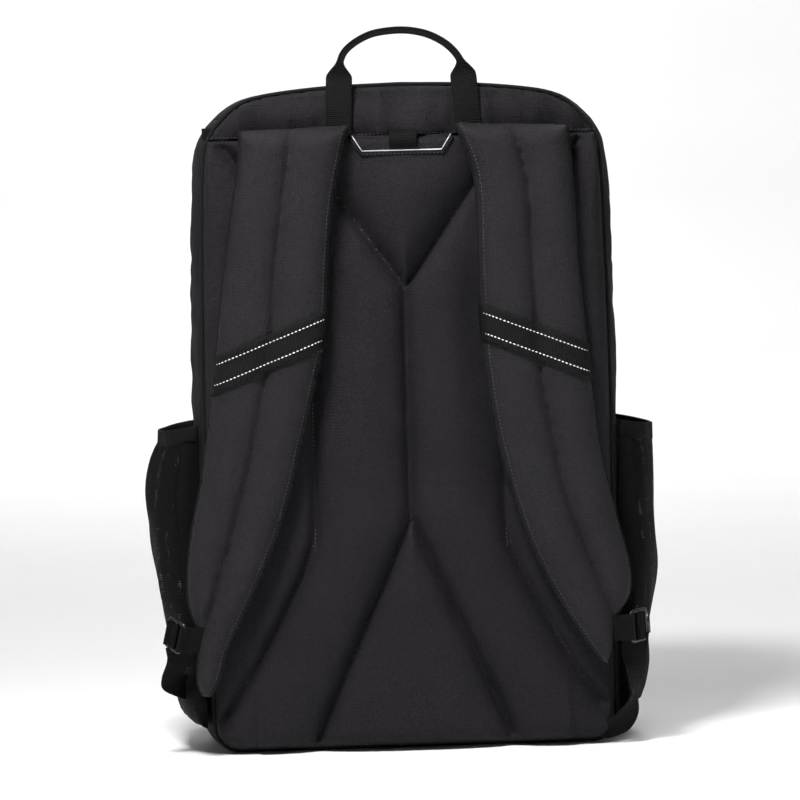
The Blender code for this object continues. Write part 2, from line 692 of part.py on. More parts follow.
def slider_mesh():
    """A slider's base with its bail, lying along local X with +Z away from the zip."""
    bail = [(-0.0035, 0.0010), (0.0035, 0.0010), (0.0035, 0.0044), (0.0027, 0.0052), (-0.0027, 0.0052),
            (-0.0035, 0.0044)]
    hole = [(-0.0023, 0.0021), (0.0023, 0.0021), (0.0023, 0.0043), (-0.0023, 0.0043)]
    curve = flat_curve("bail", [bail, hole], 0.0028)
    arch = add_part("bail", curve, zip_metal("bail"))
    arch.rotation_euler = (math.pi / 2, 0.0, 0.0)
    arch = as_mesh(arch)
    foot = block_mesh("slider_base", (-0.0055, -0.0040, 0.0), (0.0055, 0.0040, 0.0018), 0.0004)
    base = add_part("slider_base", foot, zip_metal("slider_base"))
    cut(base, arch, "UNION")
    bpy.context.view_layer.update()
    graph = bpy.context.evaluated_depsgraph_get()
    mesh = bpy.data.meshes.new_from_object(base.evaluated_get(graph))
    bpy.data.objects.remove(base)
    bpy.data.objects.remove(arch)
    mesh.materials.clear()
    return mesh


def pull_mesh():
    """A pull with a window at one end: the end bar passes through the bail."""
    outline = [(-0.0006, -0.0036), (0.0070, -0.0036), (0.0220, -0.0030), (0.0235, -0.0018), (0.0235, 0.0018),
               (0.0220, 0.0030), (0.0070, 0.0036), (-0.0006, 0.0036)]
    window = [(0.0006, -0.0020), (0.0058, -0.0020), (0.0058, 0.0020), (0.0006, 0.0020)]
    curve = flat_curve("pull", [outline, window], 0.0012)
    obj = as_mesh(add_part("pull", curve, zip_metal("pull")))
    mesh = obj.data
    bpy.data.objects.remove(obj)
    mesh.materials.clear()
    return mesh


def zip_slider(name, origin, along, up, meshes):
    """A slider and its pull at a place on a zip; the pull's origin is its hinge."""
    along = Vector(along).normalized()
    up = Vector(up).normalized()
    turn = Matrix((along, up.cross(along), up)).transposed().to_4x4()
    place = Matrix.Translation(origin) @ turn
    slider = add_part(f"{name}_slider", meshes[0].copy(), zip_metal(f"{name}_slider"))
    slider.matrix_world = place
    pull = add_part(f"{name}_pull", meshes[1].copy(), zip_metal(f"{name}_pull"))
    pull.matrix_world = place @ Matrix.Translation(PULL_HINGE)


def zip_sliders():
    meshes = (slider_mesh(), pull_mesh())
    top = at_depth(seam_at(SEAM_LENGTH - 0.012), ZIP_Y)
    end = at_depth(seam_at(SEAM_LENGTH - 0.100), ZIP_Y)
    slope = (end - top).normalized()
    for side, sign in (("right", 1), ("left", -1)):
        along = Vector((sign * slope.x, 0.0, slope.z))
        up = Vector((-along.z * sign, 0.0, abs(along.x)))
        origin = Vector((sign * top.x, ZIP_Y, top.z)) + up * 0.0027
        zip_slider(f"main_zip_{side}", origin, along, up, meshes)
    face = FRONT_Y - 0.0005 + FRONT_THICK + 0.0004
    zip_slider("racket_zip", Vector((FLAP_HALF - 0.0008, face, 0.380)), (0, 0, -1), (0, 1, 0), meshes)
    slot_y = FRONT_Y - 0.0005 + FRONT_THICK + GAP + POCKET_DEPTH / 2
    zip_slider("accessory_zip", Vector((-0.080, slot_y, POCKET_TOP_Z + 0.0004)), (1, 0, 0), (0, 0, 1), meshes)
    for mesh in meshes:
        bpy.data.meshes.remove(mesh)


def main():
    for obj in list(bpy.data.objects):
        bpy.data.objects.remove(obj)
    bpy.context.scene.collection.children.link(PARTS)
    bpy.context.scene.collection.children.link(CUTTERS)
    shell_bands()
    zip_tapes()
    piping("rear_piping", BACK_Y - 0.0018)
    piping("front_piping", FRONT_Y + 0.0003)
    back_panels()
    back_pads()
    yoke()
    hang_loop()
    carry_handle()
    shoulder_straps()
    adjuster_webbing()
    side_pockets()
    side_tab()
    inside()
    front()
    zip_sliders()


main()
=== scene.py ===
"""The looks of the racket backpack: padded cloth, webbing, nets, zips, camera and lights.

The harness side faces -Y and +X is to the right of someone who looks at it. Lengths are in metres.
"""

import json
import math

import bmesh
import bpy
import numpy as np
from mathutils import Matrix, Vector, noise


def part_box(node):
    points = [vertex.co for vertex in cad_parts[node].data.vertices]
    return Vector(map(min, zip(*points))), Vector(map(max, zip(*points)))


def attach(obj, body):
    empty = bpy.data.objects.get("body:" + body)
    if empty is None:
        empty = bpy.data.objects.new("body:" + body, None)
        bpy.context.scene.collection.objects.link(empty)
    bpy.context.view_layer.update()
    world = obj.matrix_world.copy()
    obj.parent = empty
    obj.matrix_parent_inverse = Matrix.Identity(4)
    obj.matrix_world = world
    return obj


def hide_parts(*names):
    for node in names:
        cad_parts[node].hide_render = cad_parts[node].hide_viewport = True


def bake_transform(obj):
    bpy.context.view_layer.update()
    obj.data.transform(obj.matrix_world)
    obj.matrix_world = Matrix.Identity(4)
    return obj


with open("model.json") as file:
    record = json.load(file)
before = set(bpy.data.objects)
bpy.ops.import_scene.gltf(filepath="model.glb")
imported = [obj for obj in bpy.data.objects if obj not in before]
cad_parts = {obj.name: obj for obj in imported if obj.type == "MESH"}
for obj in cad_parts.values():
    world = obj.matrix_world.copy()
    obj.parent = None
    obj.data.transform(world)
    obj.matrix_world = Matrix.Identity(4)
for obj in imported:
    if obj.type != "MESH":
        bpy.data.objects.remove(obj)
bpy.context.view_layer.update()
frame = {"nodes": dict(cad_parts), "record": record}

# Places that every piece is built from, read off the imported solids
PANEL_INNER_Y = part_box("back_panel")[1].y
PAD_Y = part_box("pad_centre_right")[0].y
STRAP_FRONT_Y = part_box("shoulder_strap_right")[0].y
STRAP_BACK_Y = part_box("strap_lining_right")[1].y
FLAP_LOW, FLAP_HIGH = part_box("racket_flap")
POCKET_LOW, POCKET_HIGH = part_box("accessory_pocket")

# Depths of the three seams, the height of the yoke's seam, and the webbing's width
BACK_SEAM_Y = -0.097
ZIP_Y = 0.0
FRONT_SEAM_Y = 0.066
YOKE_SEAM_Z = 0.4677
WEBBING_WIDTH = 0.02

# The shell's outline: the right half of the back seam above the bottom corner, as x and z
BASE_HALF = 0.134
CORNER_RADIUS = 0.021
SEAM_SIDE = ((0.155, 0.021), (0.156, 0.14), (0.1565, 0.265), (0.155, 0.37), (0.152, 0.45),
             (0.146, 0.472), (0.137, 0.484), (0.125, 0.4945), (0.108, 0.501), (0.06, 0.5065),
             (0.0, 0.5085))

# How the shell changes from the back seam to the front: its sides bulge, and its top rises, then falls
SEAM_HALF_WIDTH = 0.155
SIDE_BULGE = 0.01
FRONT_NARROWING = 0.003
TOP_FALL = 0.03
TOP_RISE = 0.004

# Quilting seams of the right half of the back panel
SEAM_Y_ARM = ((0.0, 0.3536), (0.0524, 0.4265), (0.082, 0.467))
SEAM_CENTRE = ((0.0, 0.3536), (0.0, 0.1775))
SEAM_LOWER = ((0.0, 0.1775), (0.02, 0.131), (0.035, 0.0985), (0.0536, 0.057), (0.0737, 0.01))
SEAM_SIDE_LOBE = ((0.1355, 0.464), (0.1265, 0.45), (0.076, 0.38), (0.073, 0.357), (0.073, 0.171),
                  (0.0755, 0.158), (0.0845, 0.134), (0.1035, 0.097), (0.1208, 0.066), (0.1435, 0.031))

# Shoulder straps from the top down: outer edge, inner edge and the channel between the two lobes
STRAP_EDGES = {
    "left": {
        "outer": ((-0.1227, 0.4747), (-0.124, 0.449), (-0.1355, 0.378), (-0.148, 0.283), (-0.1572, 0.218),
                  (-0.1685, 0.163), (-0.1712, 0.1245), (-0.1675, 0.105), (-0.1635, 0.092),
                  (-0.1655, 0.07), (-0.1655, 0.056), (-0.162, 0.047)),
        "inner": ((-0.04, 0.477), (-0.052, 0.426), (-0.0577, 0.376), (-0.062, 0.32), (-0.0698, 0.285),
                  (-0.081, 0.24), (-0.0976, 0.18), (-0.12, 0.127), (-0.14, 0.086),
                  (-0.1462, 0.065), (-0.151, 0.0535), (-0.1575, 0.0462)),
        "channel": ((-0.083, 0.476), (-0.097, 0.378), (-0.1014, 0.328), (-0.108, 0.291),
                    (-0.1176, 0.2385), (-0.1255, 0.2065), (-0.1356, 0.172), (-0.1476, 0.133),
                    (-0.1527, 0.117), (-0.1625, 0.093)),
    },
    "right": {
        "outer": ((0.125, 0.4737), (0.1287, 0.4405), (0.132, 0.371), (0.1376, 0.302), (0.144, 0.2335),
                  (0.1548, 0.181), (0.1648, 0.139), (0.165, 0.118), (0.159, 0.106), (0.153, 0.096),
                  (0.1505, 0.076), (0.146, 0.062)),
        "inner": ((0.041, 0.477), (0.0545, 0.434), (0.056, 0.373), (0.0575, 0.312), (0.064, 0.255),
                  (0.075, 0.203), (0.0897, 0.157), (0.1097, 0.114), (0.131, 0.079), (0.142, 0.064)),
        "channel": ((0.0836, 0.476), (0.093, 0.437), (0.0965, 0.396), (0.0975, 0.35), (0.0998, 0.296),
                    (0.1034, 0.268), (0.11, 0.233), (0.1157, 0.202), (0.124, 0.172),
                    (0.1327, 0.149), (0.1404, 0.128), (0.1465, 0.111), (0.1526, 0.0975)),
    },
}


# Materials -------------------------------------------------------------------------------------------------

class Graph:
    """A material's node tree, with short calls for the nodes it is built from."""

    def __init__(self, name):
        self.material = bpy.data.materials.new(name)
        self.material.use_nodes = True
        self.tree = self.material.node_tree
        self.shader = self.tree.nodes["Principled BSDF"]
        self.coordinates = self.tree.nodes.new("ShaderNodeTexCoord")

    def link(self, source, target):
        self.tree.links.new(source, target)

    def noise(self, scale, detail=2.0):
        texture = self.tree.nodes.new("ShaderNodeTexNoise")
        texture.inputs["Scale"].default_value = scale
        texture.inputs["Detail"].default_value = detail
        self.link(self.coordinates.outputs["Object"], texture.inputs["Vector"])
        return texture.outputs["Fac"]

    def waves(self, pitch, direction, space="Object", distortion=0.0):
        texture = self.tree.nodes.new("ShaderNodeTexWave")
        texture.bands_direction = direction
        texture.inputs["Scale"].default_value = math.tau / 20 / pitch
        texture.inputs["Distortion"].default_value = distortion
        texture.inputs["Detail"].default_value = 1.0
        texture.inputs["Detail Scale"].default_value = 2.0
        self.link(self.coordinates.outputs[space], texture.inputs["Vector"])
        return texture.outputs["Fac"]

    def math(self, operation, first, second):
        node = self.tree.nodes.new("ShaderNodeMath")
        node.operation = operation
        for socket, value in zip(node.inputs, (first, second)):
            if isinstance(value, (int, float)):
                socket.default_value = value
            else:
                self.link(value, socket)
        return node.outputs["Value"]

    def mix(self, *parts):
        """The sum of several values, each times its own weight."""
        total = None
        for value, weight in parts:
            share = self.math("MULTIPLY", value, weight)
            total = share if total is None else self.math("ADD", total, share)
        return total

    def scaled(self, value, low, high):
        node = self.tree.nodes.new("ShaderNodeMapRange")
        node.inputs["To Min"].default_value = low
        node.inputs["To Max"].default_value = high
        self.link(value, node.inputs["Value"])
        return node.outputs["Result"]

    def colour(self, dark, light, value):
        ramp = self.tree.nodes.new("ShaderNodeValToRGB")
        ramp.color_ramp.elements[0].color = (*dark, 1.0)
        ramp.color_ramp.elements[0].position = 0.25
        ramp.color_ramp.elements[1].color = (*light, 1.0)
        ramp.color_ramp.elements[1].position = 0.75
        self.link(value, ramp.inputs["Fac"])
        self.link(ramp.outputs["Color"], self.shader.inputs["Base Color"])

    def bump(self, value, distance, strength=1.0):
        node = self.tree.nodes.new("ShaderNodeBump")
        node.inputs["Distance"].default_value = distance
        node.inputs["Strength"].default_value = strength
        self.link(value, node.inputs["Height"])
        self.link(node.outputs["Normal"], self.shader.inputs["Normal"])

    def roughness(self, value, low, high):
        self.link(self.scaled(value, low, high), self.shader.inputs["Roughness"])

    def specular(self, level):
        self.shader.inputs["Specular IOR Level"].default_value = level


def shade(colour, factor):
    return tuple(channel * factor for channel in colour)


def polyester(name, colour=(0.0154, 0.0138, 0.0159), grain=0.72, shine=0.09):
    """Woven polyester: a fine basket weave, a speckled grain and broad uneven patches."""
    graph = Graph(name)
    weave = graph.math("MULTIPLY", graph.waves(0.0011, "X"), graph.waves(0.0011, "Z"))
    speckle = graph.noise(680.0, 4.0)
    patches = graph.noise(22.0, 3.0)
    mixed = graph.mix((speckle, 0.72), (patches, 0.16), (weave, 0.12))
    graph.colour(shade(colour, 1 - grain), shade(colour, 1 + grain), mixed)
    graph.roughness(patches, 0.56, 0.7)
    graph.bump(graph.mix((weave, 0.6), (speckle, 0.9)), 0.00055)
    graph.specular(shine)
    return graph.material


def webbing_cloth(name, colour=(0.0046, 0.0048, 0.0047), rib=0.0016):
    """Ribbed webbing: ribs across its length, a fine lengthwise thread and dusty, rubbed high spots."""
    graph = Graph(name)
    ribs = graph.waves(rib, "X", "UV")
    threads = graph.waves(0.001, "Y", "UV", 0.3)
    dust = graph.noise(420.0, 3.0)
    mixed = graph.mix((ribs, 0.45), (dust, 0.4), (threads, 0.15))
    graph.colour(shade(colour, 0.62), shade(colour, 1.55), mixed)
    graph.roughness(dust, 0.52, 0.78)
    graph.bump(graph.math("ADD", ribs, graph.math("MULTIPLY", threads, 0.35)), 0.00035, 0.9)
    graph.specular(0.07)
    return graph.material


def net_cloth(name, pitch=0.0019, yarn=0.86, colour=(0.0038, 0.0037, 0.0044)):
    """Open knitted net: threads both ways round small holes, a good part of which the yarn closes."""
    graph = Graph(name)
    across = graph.waves(pitch, "X", "UV", 0.25)
    along = graph.waves(pitch, "Y", "UV", 0.25)
    solid = graph.math("MAXIMUM", across, along)
    woven = graph.math("GREATER_THAN", solid, 1 - yarn)
    closed = graph.math("GREATER_THAN", graph.noise(330.0, 2.0), 0.56)
    graph.link(graph.math("MAXIMUM", woven, closed), graph.shader.inputs["Alpha"])
    fibre = graph.noise(900.0, 2.0)
    graph.colour(shade(colour, 0.5), shade(colour, 2.2), graph.math("MULTIPLY", fibre, solid))
    graph.specular(0.08)
    graph.roughness(fibre, 0.55, 0.8)
    graph.bump(solid, 0.0004, 0.8)
    return graph.material


def moulded_plastic(name, colour=(0.011, 0.011, 0.012), low=0.16, high=0.34):
    """Moulded plastic with a faint flow texture."""
    graph = Graph(name)
    flow = graph.noise(160.0, 4.0)
    fine = graph.noise(1400.0, 2.0)
    graph.colour(shade(colour, 0.8), shade(colour, 1.5), flow)
    graph.roughness(flow, low, high)
    graph.bump(fine, 0.00006, 0.5)
    return graph.material


def coated_metal(name):
    """Black coated zinc, worn through to grey in specks."""
    graph = Graph(name)
    wear = graph.noise(900.0, 4.0)
    graph.colour((0.02, 0.02, 0.022), (0.06, 0.06, 0.064), graph.math("POWER", wear, 2.0))
    graph.roughness(wear, 0.28, 0.5)
    graph.shader.inputs["Metallic"].default_value = 0.85
    graph.bump(wear, 0.00008, 0.5)
    return graph.material


def reflective_cloth(name):
    """Silver retroreflective tape: fine glass-bead grain."""
    graph = Graph(name)
    beads = graph.noise(2600.0, 2.0)
    graph.colour((0.5, 0.49, 0.53), (0.78, 0.76, 0.82), beads)
    graph.roughness(beads, 0.28, 0.45)
    graph.shader.inputs["Metallic"].default_value = 0.35
    graph.bump(beads, 0.00008, 0.4)
    return graph.material


def thread(name, colour):
    """Sewing thread: twisted fibre with a dull shine."""
    graph = Graph(name)
    fibre = graph.noise(3000.0, 2.0)
    graph.colour(shade(colour, 0.75), shade(colour, 1.25), fibre)
    graph.roughness(fibre, 0.4, 0.7)
    graph.bump(fibre, 0.00008, 0.6)
    return graph.material


MATERIALS = {
    "shell_cloth": polyester("shell_cloth", (0.015, 0.0138, 0.0156), 0.55, 0.02),
    "back_cloth": polyester("back_cloth"),
    # strap_cloth is back_cloth's colour made about an eighth lighter: painted light on the straps, which
    # face the light more than the back panel
    "strap_cloth": polyester("strap_cloth", (0.0174, 0.0157, 0.0179), 0.72, 0.12),
    "lining": polyester("lining", (0.03, 0.03, 0.033), 0.2),
    "webbing": webbing_cloth("webbing"),
    "band_webbing": webbing_cloth("band_webbing", (0.0075, 0.0078, 0.0075), 0.0019),
    "zip_tape": webbing_cloth("zip_tape", (0.01, 0.01, 0.011), 0.0013),
    "piping": polyester("piping", (0.011, 0.0102, 0.0115), 0.4, 0.06),
    "elastic": webbing_cloth("elastic", (0.0055, 0.0055, 0.0058), 0.0021),
    "pocket_net": net_cloth("pocket_net"),
    "spacer_mesh": net_cloth("spacer_mesh", 0.0024, 0.75),
    "reflective_silver": reflective_cloth("reflective_silver"),
    "ladder_lock_plastic": moulded_plastic("ladder_lock_plastic"),
    "frame_sheet_plastic": moulded_plastic("frame_sheet_plastic", (0.02, 0.02, 0.02), 0.4, 0.6),
    "zip_metal": coated_metal("zip_metal"),
}
# Dark thread with its colour made lighter than the thread is: partly painted highlight, standing for the
# glints on the stitches in the dark seams
DARK_THREAD_WITH_PAINTED_HIGHLIGHT = thread("dark_thread_with_painted_highlight", (0.072, 0.07, 0.074))
WHITE_THREAD = thread("white_thread", (0.92, 0.92, 0.92))

# Sewing: the pitch, length and radius of each seam's stitches
QUILT_STITCH = (0.0031, 0.0023, 0.00038)
EDGE_STITCH = (0.003, 0.0021, 0.0003)
RECESS_STITCH = (0.003, 0.0018, 0.00024)
FLAP_STITCH = (0.0031, 0.0022, 0.00032)
BAND_STITCH = (0.0031, 0.0025, 0.0006)


# Mesh helpers ----------------------------------------------------------------------------------------------

def as_object(mesh_data, name, material):
    """Turn a bmesh into a smooth object of one material, with its faces pointing out."""
    bmesh.ops.recalc_face_normals(mesh_data, faces=mesh_data.faces)
    mesh = bpy.data.meshes.new(name)
    mesh_data.to_mesh(mesh)
    mesh_data.free()
    mesh.materials.clear()
    mesh.materials.append(material)
    mesh.shade_smooth()
    obj = bpy.data.objects.new(name, mesh)
    bpy.context.scene.collection.objects.link(obj)
    return obj


def finish_piece(obj, body, slot, *nodes):
    """Attach a piece to its body and hide the CAD nodes that it stands for."""
    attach(obj, body)
    if nodes:
        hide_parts(*nodes)
    return obj


def smooth_path(points, step):
    """Points every step or so along a smooth curve through the given points."""
    ends = [Vector(p) for p in points]
    padded = [2 * ends[0] - ends[1], *ends, 2 * ends[-1] - ends[-2]]
    path = [ends[0]]
    for a, b, c, d in zip(padded, padded[1:], padded[2:], padded[3:]):
        count = max(1, round((c - b).length / step))
        for i in range(1, count + 1):
            t = i / count
            path.append(0.5 * (2 * b + t * (c - a) + t * t * (2 * a - 5 * b + 4 * c - d)
                               + t * t * t * (3 * b - 3 * c + d - a)))
    return path


def spaced(path, pitch):
    """Points at an even pitch along a path of straight pieces, with the direction at each."""
    result = []
    carried = pitch / 2
    for a, b in zip(path, path[1:]):
        run = (b - a).length
        while carried < run:
            result.append((a.lerp(b, carried / run), (b - a).normalized()))
            carried += pitch
        carried -= run
    return result


def directions(path):
    """The direction of a path at each of its points."""
    last = len(path) - 1
    return [(path[min(i + 1, last)] - path[max(i - 1, 0)]).normalized() for i in range(last + 1)]


def dome(distance, width, power=2):
    """A rounded rise from 0 at an edge to 1 at a width from it."""
    return np.sqrt(np.clip(1 - (1 - np.clip(distance / width, 0, 1)) ** power, 0, 1))


def rounded(low_x, low_z, high_x, high_z, radius, steps=6):
    """A rectangle with rounded corners, anticlockwise from its right side."""
    ring = []
    for cx, cz, start in ((high_x - radius, high_z - radius, 0), (low_x + radius, high_z - radius, 90),
                          (low_x + radius, low_z + radius, 180), (high_x - radius, low_z + radius, 270)):
        for k in range(steps + 1):
            angle = math.radians(start + 90 / steps * k)
            ring.append((cx + radius * math.cos(angle), cz + radius * math.sin(angle)))
    return ring


def flattened(count, power):
    """A section between an oval and a rectangle: each point's angle and its shares of the half sizes."""
    points = []
    for k in range(count):
        angle = math.tau * k / count
        c, s = math.cos(angle), math.sin(angle)
        points.append((angle, math.copysign(abs(c) ** power, c), math.copysign(abs(s) ** power, s)))
    return points


def mirrored(points):
    return [(-p[0], p[1]) for p in points]


def distances(x, z, lines):
    """The distance from each point to the nearest of several polylines."""
    best = np.full(x.shape, 1e9)
    for line in lines:
        for (ax, az), (bx, bz) in zip(line, line[1:]):
            dx, dz = bx - ax, bz - az
            share = np.clip(((x - ax) * dx + (z - az) * dz) / max(dx * dx + dz * dz, 1e-12), 0, 1)
            best = np.minimum(best, np.hypot(x - ax - share * dx, z - az - share * dz))
    return best


def inside(x, z, polygon):
    found = np.zeros(x.shape, bool)
    for (ax, az), (bx, bz) in zip(polygon, polygon[1:] + polygon[:1]):
        crosses = (az > z) != (bz > z)
        with np.errstate(divide="ignore", invalid="ignore"):
            at = ax + (z - az) / (bz - az) * (bx - ax)
        found ^= crosses & (x < at)
    return found


def onto_edge(x, z, rings):
    """The nearest point on the edges of some polygons."""
    best = None
    for polygon in rings:
        for (ax, az), (bx, bz) in zip(polygon, polygon[1:] + polygon[:1]):
            dx, dz = bx - ax, bz - az
            share = min(max(((x - ax) * dx + (z - az) * dz) / max(dx * dx + dz * dz, 1e-12), 0), 1)
            px, pz = ax + share * dx, az + share * dz
            gap = math.hypot(x - px, z - pz)
            if best is None or gap < best[0]:
                best = (gap, px, pz)
    return best[1], best[2]


def height_field(name, outline, cell, height, back_y, material, towards=-1, hole=()):
    """A closed pad: its front rises from back_y by height(x, z, edge distance), its back is flat."""
    outline = [tuple(p) for p in outline]
    xs = np.arange(min(p[0] for p in outline) - cell, max(p[0] for p in outline) + 2 * cell, cell)
    zs = np.arange(min(p[1] for p in outline) - cell, max(p[1] for p in outline) + 2 * cell, cell)
    gx, gz = np.meshgrid(xs, zs)
    hole = [tuple(p) for p in hole]
    rings = [outline] + ([hole] if hole else [])
    within = inside(gx, gz, outline)
    if hole:
        within &= ~inside(gx, gz, hole)
    edge = distances(gx, gz, [ring + ring[:1] for ring in rings])
    near = within | (edge < 0.72 * cell)
    edge[~within] = 0.0
    rise = height(gx, gz, edge)
    mesh_data = bmesh.new()
    front = {}
    back = {}
    for i, j in zip(*np.nonzero(near)):
        x, z = float(gx[i, j]), float(gz[i, j])
        if not within[i, j]:
            x, z = onto_edge(x, z, rings)
        lift = float(rise[i, j])
        front[i, j] = mesh_data.verts.new((x, back_y + towards * lift, z))
        back[i, j] = mesh_data.verts.new((x, back_y, z))
    rim = {}
    for i, j in front:
        ring = [(i, j), (i, j + 1), (i + 1, j + 1), (i + 1, j)]
        if all(key in front for key in ring):
            mesh_data.faces.new([front[key] for key in ring])
            mesh_data.faces.new([back[key] for key in reversed(ring)])
            for a, b in zip(ring, ring[1:] + ring[:1]):
                if (b, a) in rim:
                    del rim[b, a]
                else:
                    rim[a, b] = True
    for a, b in rim:
        mesh_data.faces.new((front[b], front[a], back[a], back[b]))
    loose = [v for v in mesh_data.verts if not v.link_faces]
    bmesh.ops.delete(mesh_data, geom=loose, context="VERTS")
    return as_object(mesh_data, name, material)


def stitches(name, points, size, material):
    """Sewn stitches: one small spindle at each place and direction.

    size is the pitch of the seam and the length and radius of one stitch.
    """
    _, length, radius = size
    mesh_data = bmesh.new()
    for place, along, out in points:
        side = along.cross(out).normalized()
        tips = [mesh_data.verts.new(place + along * length * end) for end in (-0.5, 0.5)]
        ring = []
        for i in range(5):
            angle = math.tau * i / 5
            away = side * math.cos(angle) + out * math.sin(angle)
            ring.append(mesh_data.verts.new(place + away * radius))
        for a, b in zip(ring, ring[1:] + ring[:1]):
            mesh_data.faces.new((tips[0], b, a))
            mesh_data.faces.new((tips[1], a, b))
    return as_object(mesh_data, name, material)


def tube(name, points, radius, material, closed=False, sides=10):
    """A round cord of cloth along a path, as a mesh with lengthwise UVs."""
    count = len(points)
    rows = []
    up = Vector((0.0, 1.0, 0.0))
    for i, point in enumerate(points):
        ahead = points[(i + 1) % count] if closed or i < count - 1 else point
        behind = points[i - 1] if closed or i else point
        along = (ahead - behind).normalized()
        side = along.cross(up)
        side = side.normalized() if side.length > 1e-4 else Vector((1.0, 0.0, 0.0))
        other = side.cross(along).normalized()
        rows.append([point + (side * math.cos(a) + other * math.sin(a)) * radius
                     for a in (math.tau * k / sides for k in range(sides))])
    return skin(name, rows, material, closed, True, not closed, not closed)


def skin(name, rows, material, closed_rows=False, closed_columns=False, first_cap=False, last_cap=False):
    """A surface through rows of points, with UVs in metres: u along the rows' order, v across."""
    mesh_data = bmesh.new()
    grid = [[mesh_data.verts.new(p) for p in row] for row in rows]
    layer = mesh_data.loops.layers.uv.new("UVMap")
    middle = len(rows[0]) // 2
    along = [0.0]
    for a, b in zip(rows, rows[1:] + (rows[:1] if closed_rows else [])):
        along.append(along[-1] + (Vector(b[middle]) - Vector(a[middle])).length)
    across = [0.0]
    first = rows[len(rows) // 2]
    for a, b in zip(first, first[1:] + (first[:1] if closed_columns else [])):
        across.append(across[-1] + (Vector(b) - Vector(a)).length)
    row_count = len(rows) if closed_rows else len(rows) - 1
    column_count = len(first) if closed_columns else len(first) - 1
    for i in range(row_count):
        for j in range(column_count):
            corners = [(i, j), (i, j + 1), (i + 1, j + 1), (i + 1, j)]
            face = mesh_data.faces.new([grid[r % len(rows)][c % len(first)] for r, c in corners])
            for loop, (r, c) in zip(face.loops, corners):
                loop[layer].uv = (along[r], across[c])
    if first_cap:
        mesh_data.faces.new(grid[0][::-1])
    if last_cap:
        mesh_data.faces.new(grid[-1])
    return as_object(mesh_data, name, material)


def thicken(obj, thickness, offset=0.0):
    solidify = obj.modifiers.new("cloth", "SOLIDIFY")
    solidify.thickness = thickness
    solidify.offset = offset
    return obj


def ribbon(name, centres, sides, width, thickness, material, step=0.003, crown=0.0):
    """A strip of webbing along a path; sides are its width directions, spread evenly along it."""
    path = smooth_path(centres, step)
    turns = smooth_path(sides, 0.2)
    rows = []
    for i, (point, along) in enumerate(zip(path, directions(path))):
        share = i / (len(path) - 1) * (len(turns) - 1)
        low = min(int(share), len(turns) - 2)
        side = turns[low].lerp(turns[low + 1], share - low).normalized()
        out = side.cross(along).normalized()
        row = []
        for k in range(7):
            v = k / 6 * 2 - 1
            row.append(point + side * v * width / 2 + out * crown * (1 - v * v))
        rows.append(row)
    obj = skin(name, rows, material)
    thicken(obj, thickness)
    bevel = obj.modifiers.new("edge", "BEVEL")
    bevel.width = thickness * 0.3
    bevel.segments = 2
    bevel.limit_method = "ANGLE"
    return obj


# The shell's surface ---------------------------------------------------------------------------------------

def seam_half():
    """The back seam's right half from the bottom centre to the top centre."""
    arc = []
    for i in range(1, 9):
        angle = -math.pi / 2 + i * math.pi / 18
        across = BASE_HALF + CORNER_RADIUS * math.cos(angle)
        arc.append((across, CORNER_RADIUS + CORNER_RADIUS * math.sin(angle)))
    straight = [(BASE_HALF * i / 12, 0.0) for i in range(13)]
    return [Vector(p) for p in (*straight, *arc, *smooth_path(SEAM_SIDE, 0.008))]


SEAM = seam_half()
LENGTHS = [0.0]
for near, far in zip(SEAM, SEAM[1:]):
    LENGTHS.append(LENGTHS[-1] + (far - near).length)
SEAM_LENGTH = LENGTHS[-1]


def seam_at(s):
    """The point at a distance s along the seam from the bottom centre, to the right if s is positive."""
    s = (s + SEAM_LENGTH) % (2 * SEAM_LENGTH) - SEAM_LENGTH
    i = min(max(int(np.searchsorted(LENGTHS, abs(s))) - 1, 0), len(SEAM) - 2)
    share = (abs(s) - LENGTHS[i]) / (LENGTHS[i + 1] - LENGTHS[i])
    point = SEAM[i].lerp(SEAM[i + 1], min(share, 1.0))
    return Vector((math.copysign(point.x, s), point.y))


def length_at_height(z):
    return next(LENGTHS[i] for i, p in enumerate(SEAM) if p.y > z)


def ease(t):
    t = min(max(t, 0.0), 1.0)
    return t * t * (3 - 2 * t)


def at_depth(point, y):
    """A point of the back seam carried to a depth, where the sides bulge and the top falls to the front."""
    t = min(max((y - BACK_SEAM_Y) / (FRONT_SEAM_Y - BACK_SEAM_Y), 0.0), 1.0)
    bulge = SIDE_BULGE * math.sin(math.pi * t ** 0.75) - FRONT_NARROWING * t
    drop = TOP_FALL * t * t - TOP_RISE * math.sin(math.pi * t)
    upper = ease((point.y - 0.25) / 0.24)
    return Vector((point.x * (1 + bulge / SEAM_HALF_WIDTH), y, point.y - drop * upper))


def shell_outline(inset, y):
    """The shell's outline at a depth, moved in by an inset, anticlockwise from the bottom centre."""
    count = round(2 * SEAM_LENGTH / 0.006)
    ring = [at_depth(seam_at(2 * SEAM_LENGTH * i / count), y) for i in range(count)]
    outline = []
    for i, point in enumerate(ring):
        along = (ring[(i + 1) % count] - ring[i - 1]).normalized()
        outline.append((point.x - along.z * inset, point.z + along.x * inset))
    return outline


# Back panel and yoke ---------------------------------------------------------------------------------------

QUILTING = [SEAM_Y_ARM, mirrored(SEAM_Y_ARM), SEAM_CENTRE, SEAM_LOWER, mirrored(SEAM_LOWER), SEAM_SIDE_LOBE,
            mirrored(SEAM_SIDE_LOBE)]
CLOTH_BACK_Y = PANEL_INNER_Y - 0.0004
PAD_RISE = CLOTH_BACK_Y - PAD_Y + 0.0012
SEAM_RISE = 0.002
PAD_CROWN = 0.0024
RIM_RISE = 0.0016
SEAM_REACH = 0.005
VEE_REACH = 0.012
VEE_SLOPE = 1.385
VEE_LEAN = 0.0075
BACKWARDS = Vector((0.0, -1.0, 0.0))
STRAP_INNER_LINES = [STRAP_EDGES["left"]["inner"][1:], STRAP_EDGES["right"]["inner"][1:]]


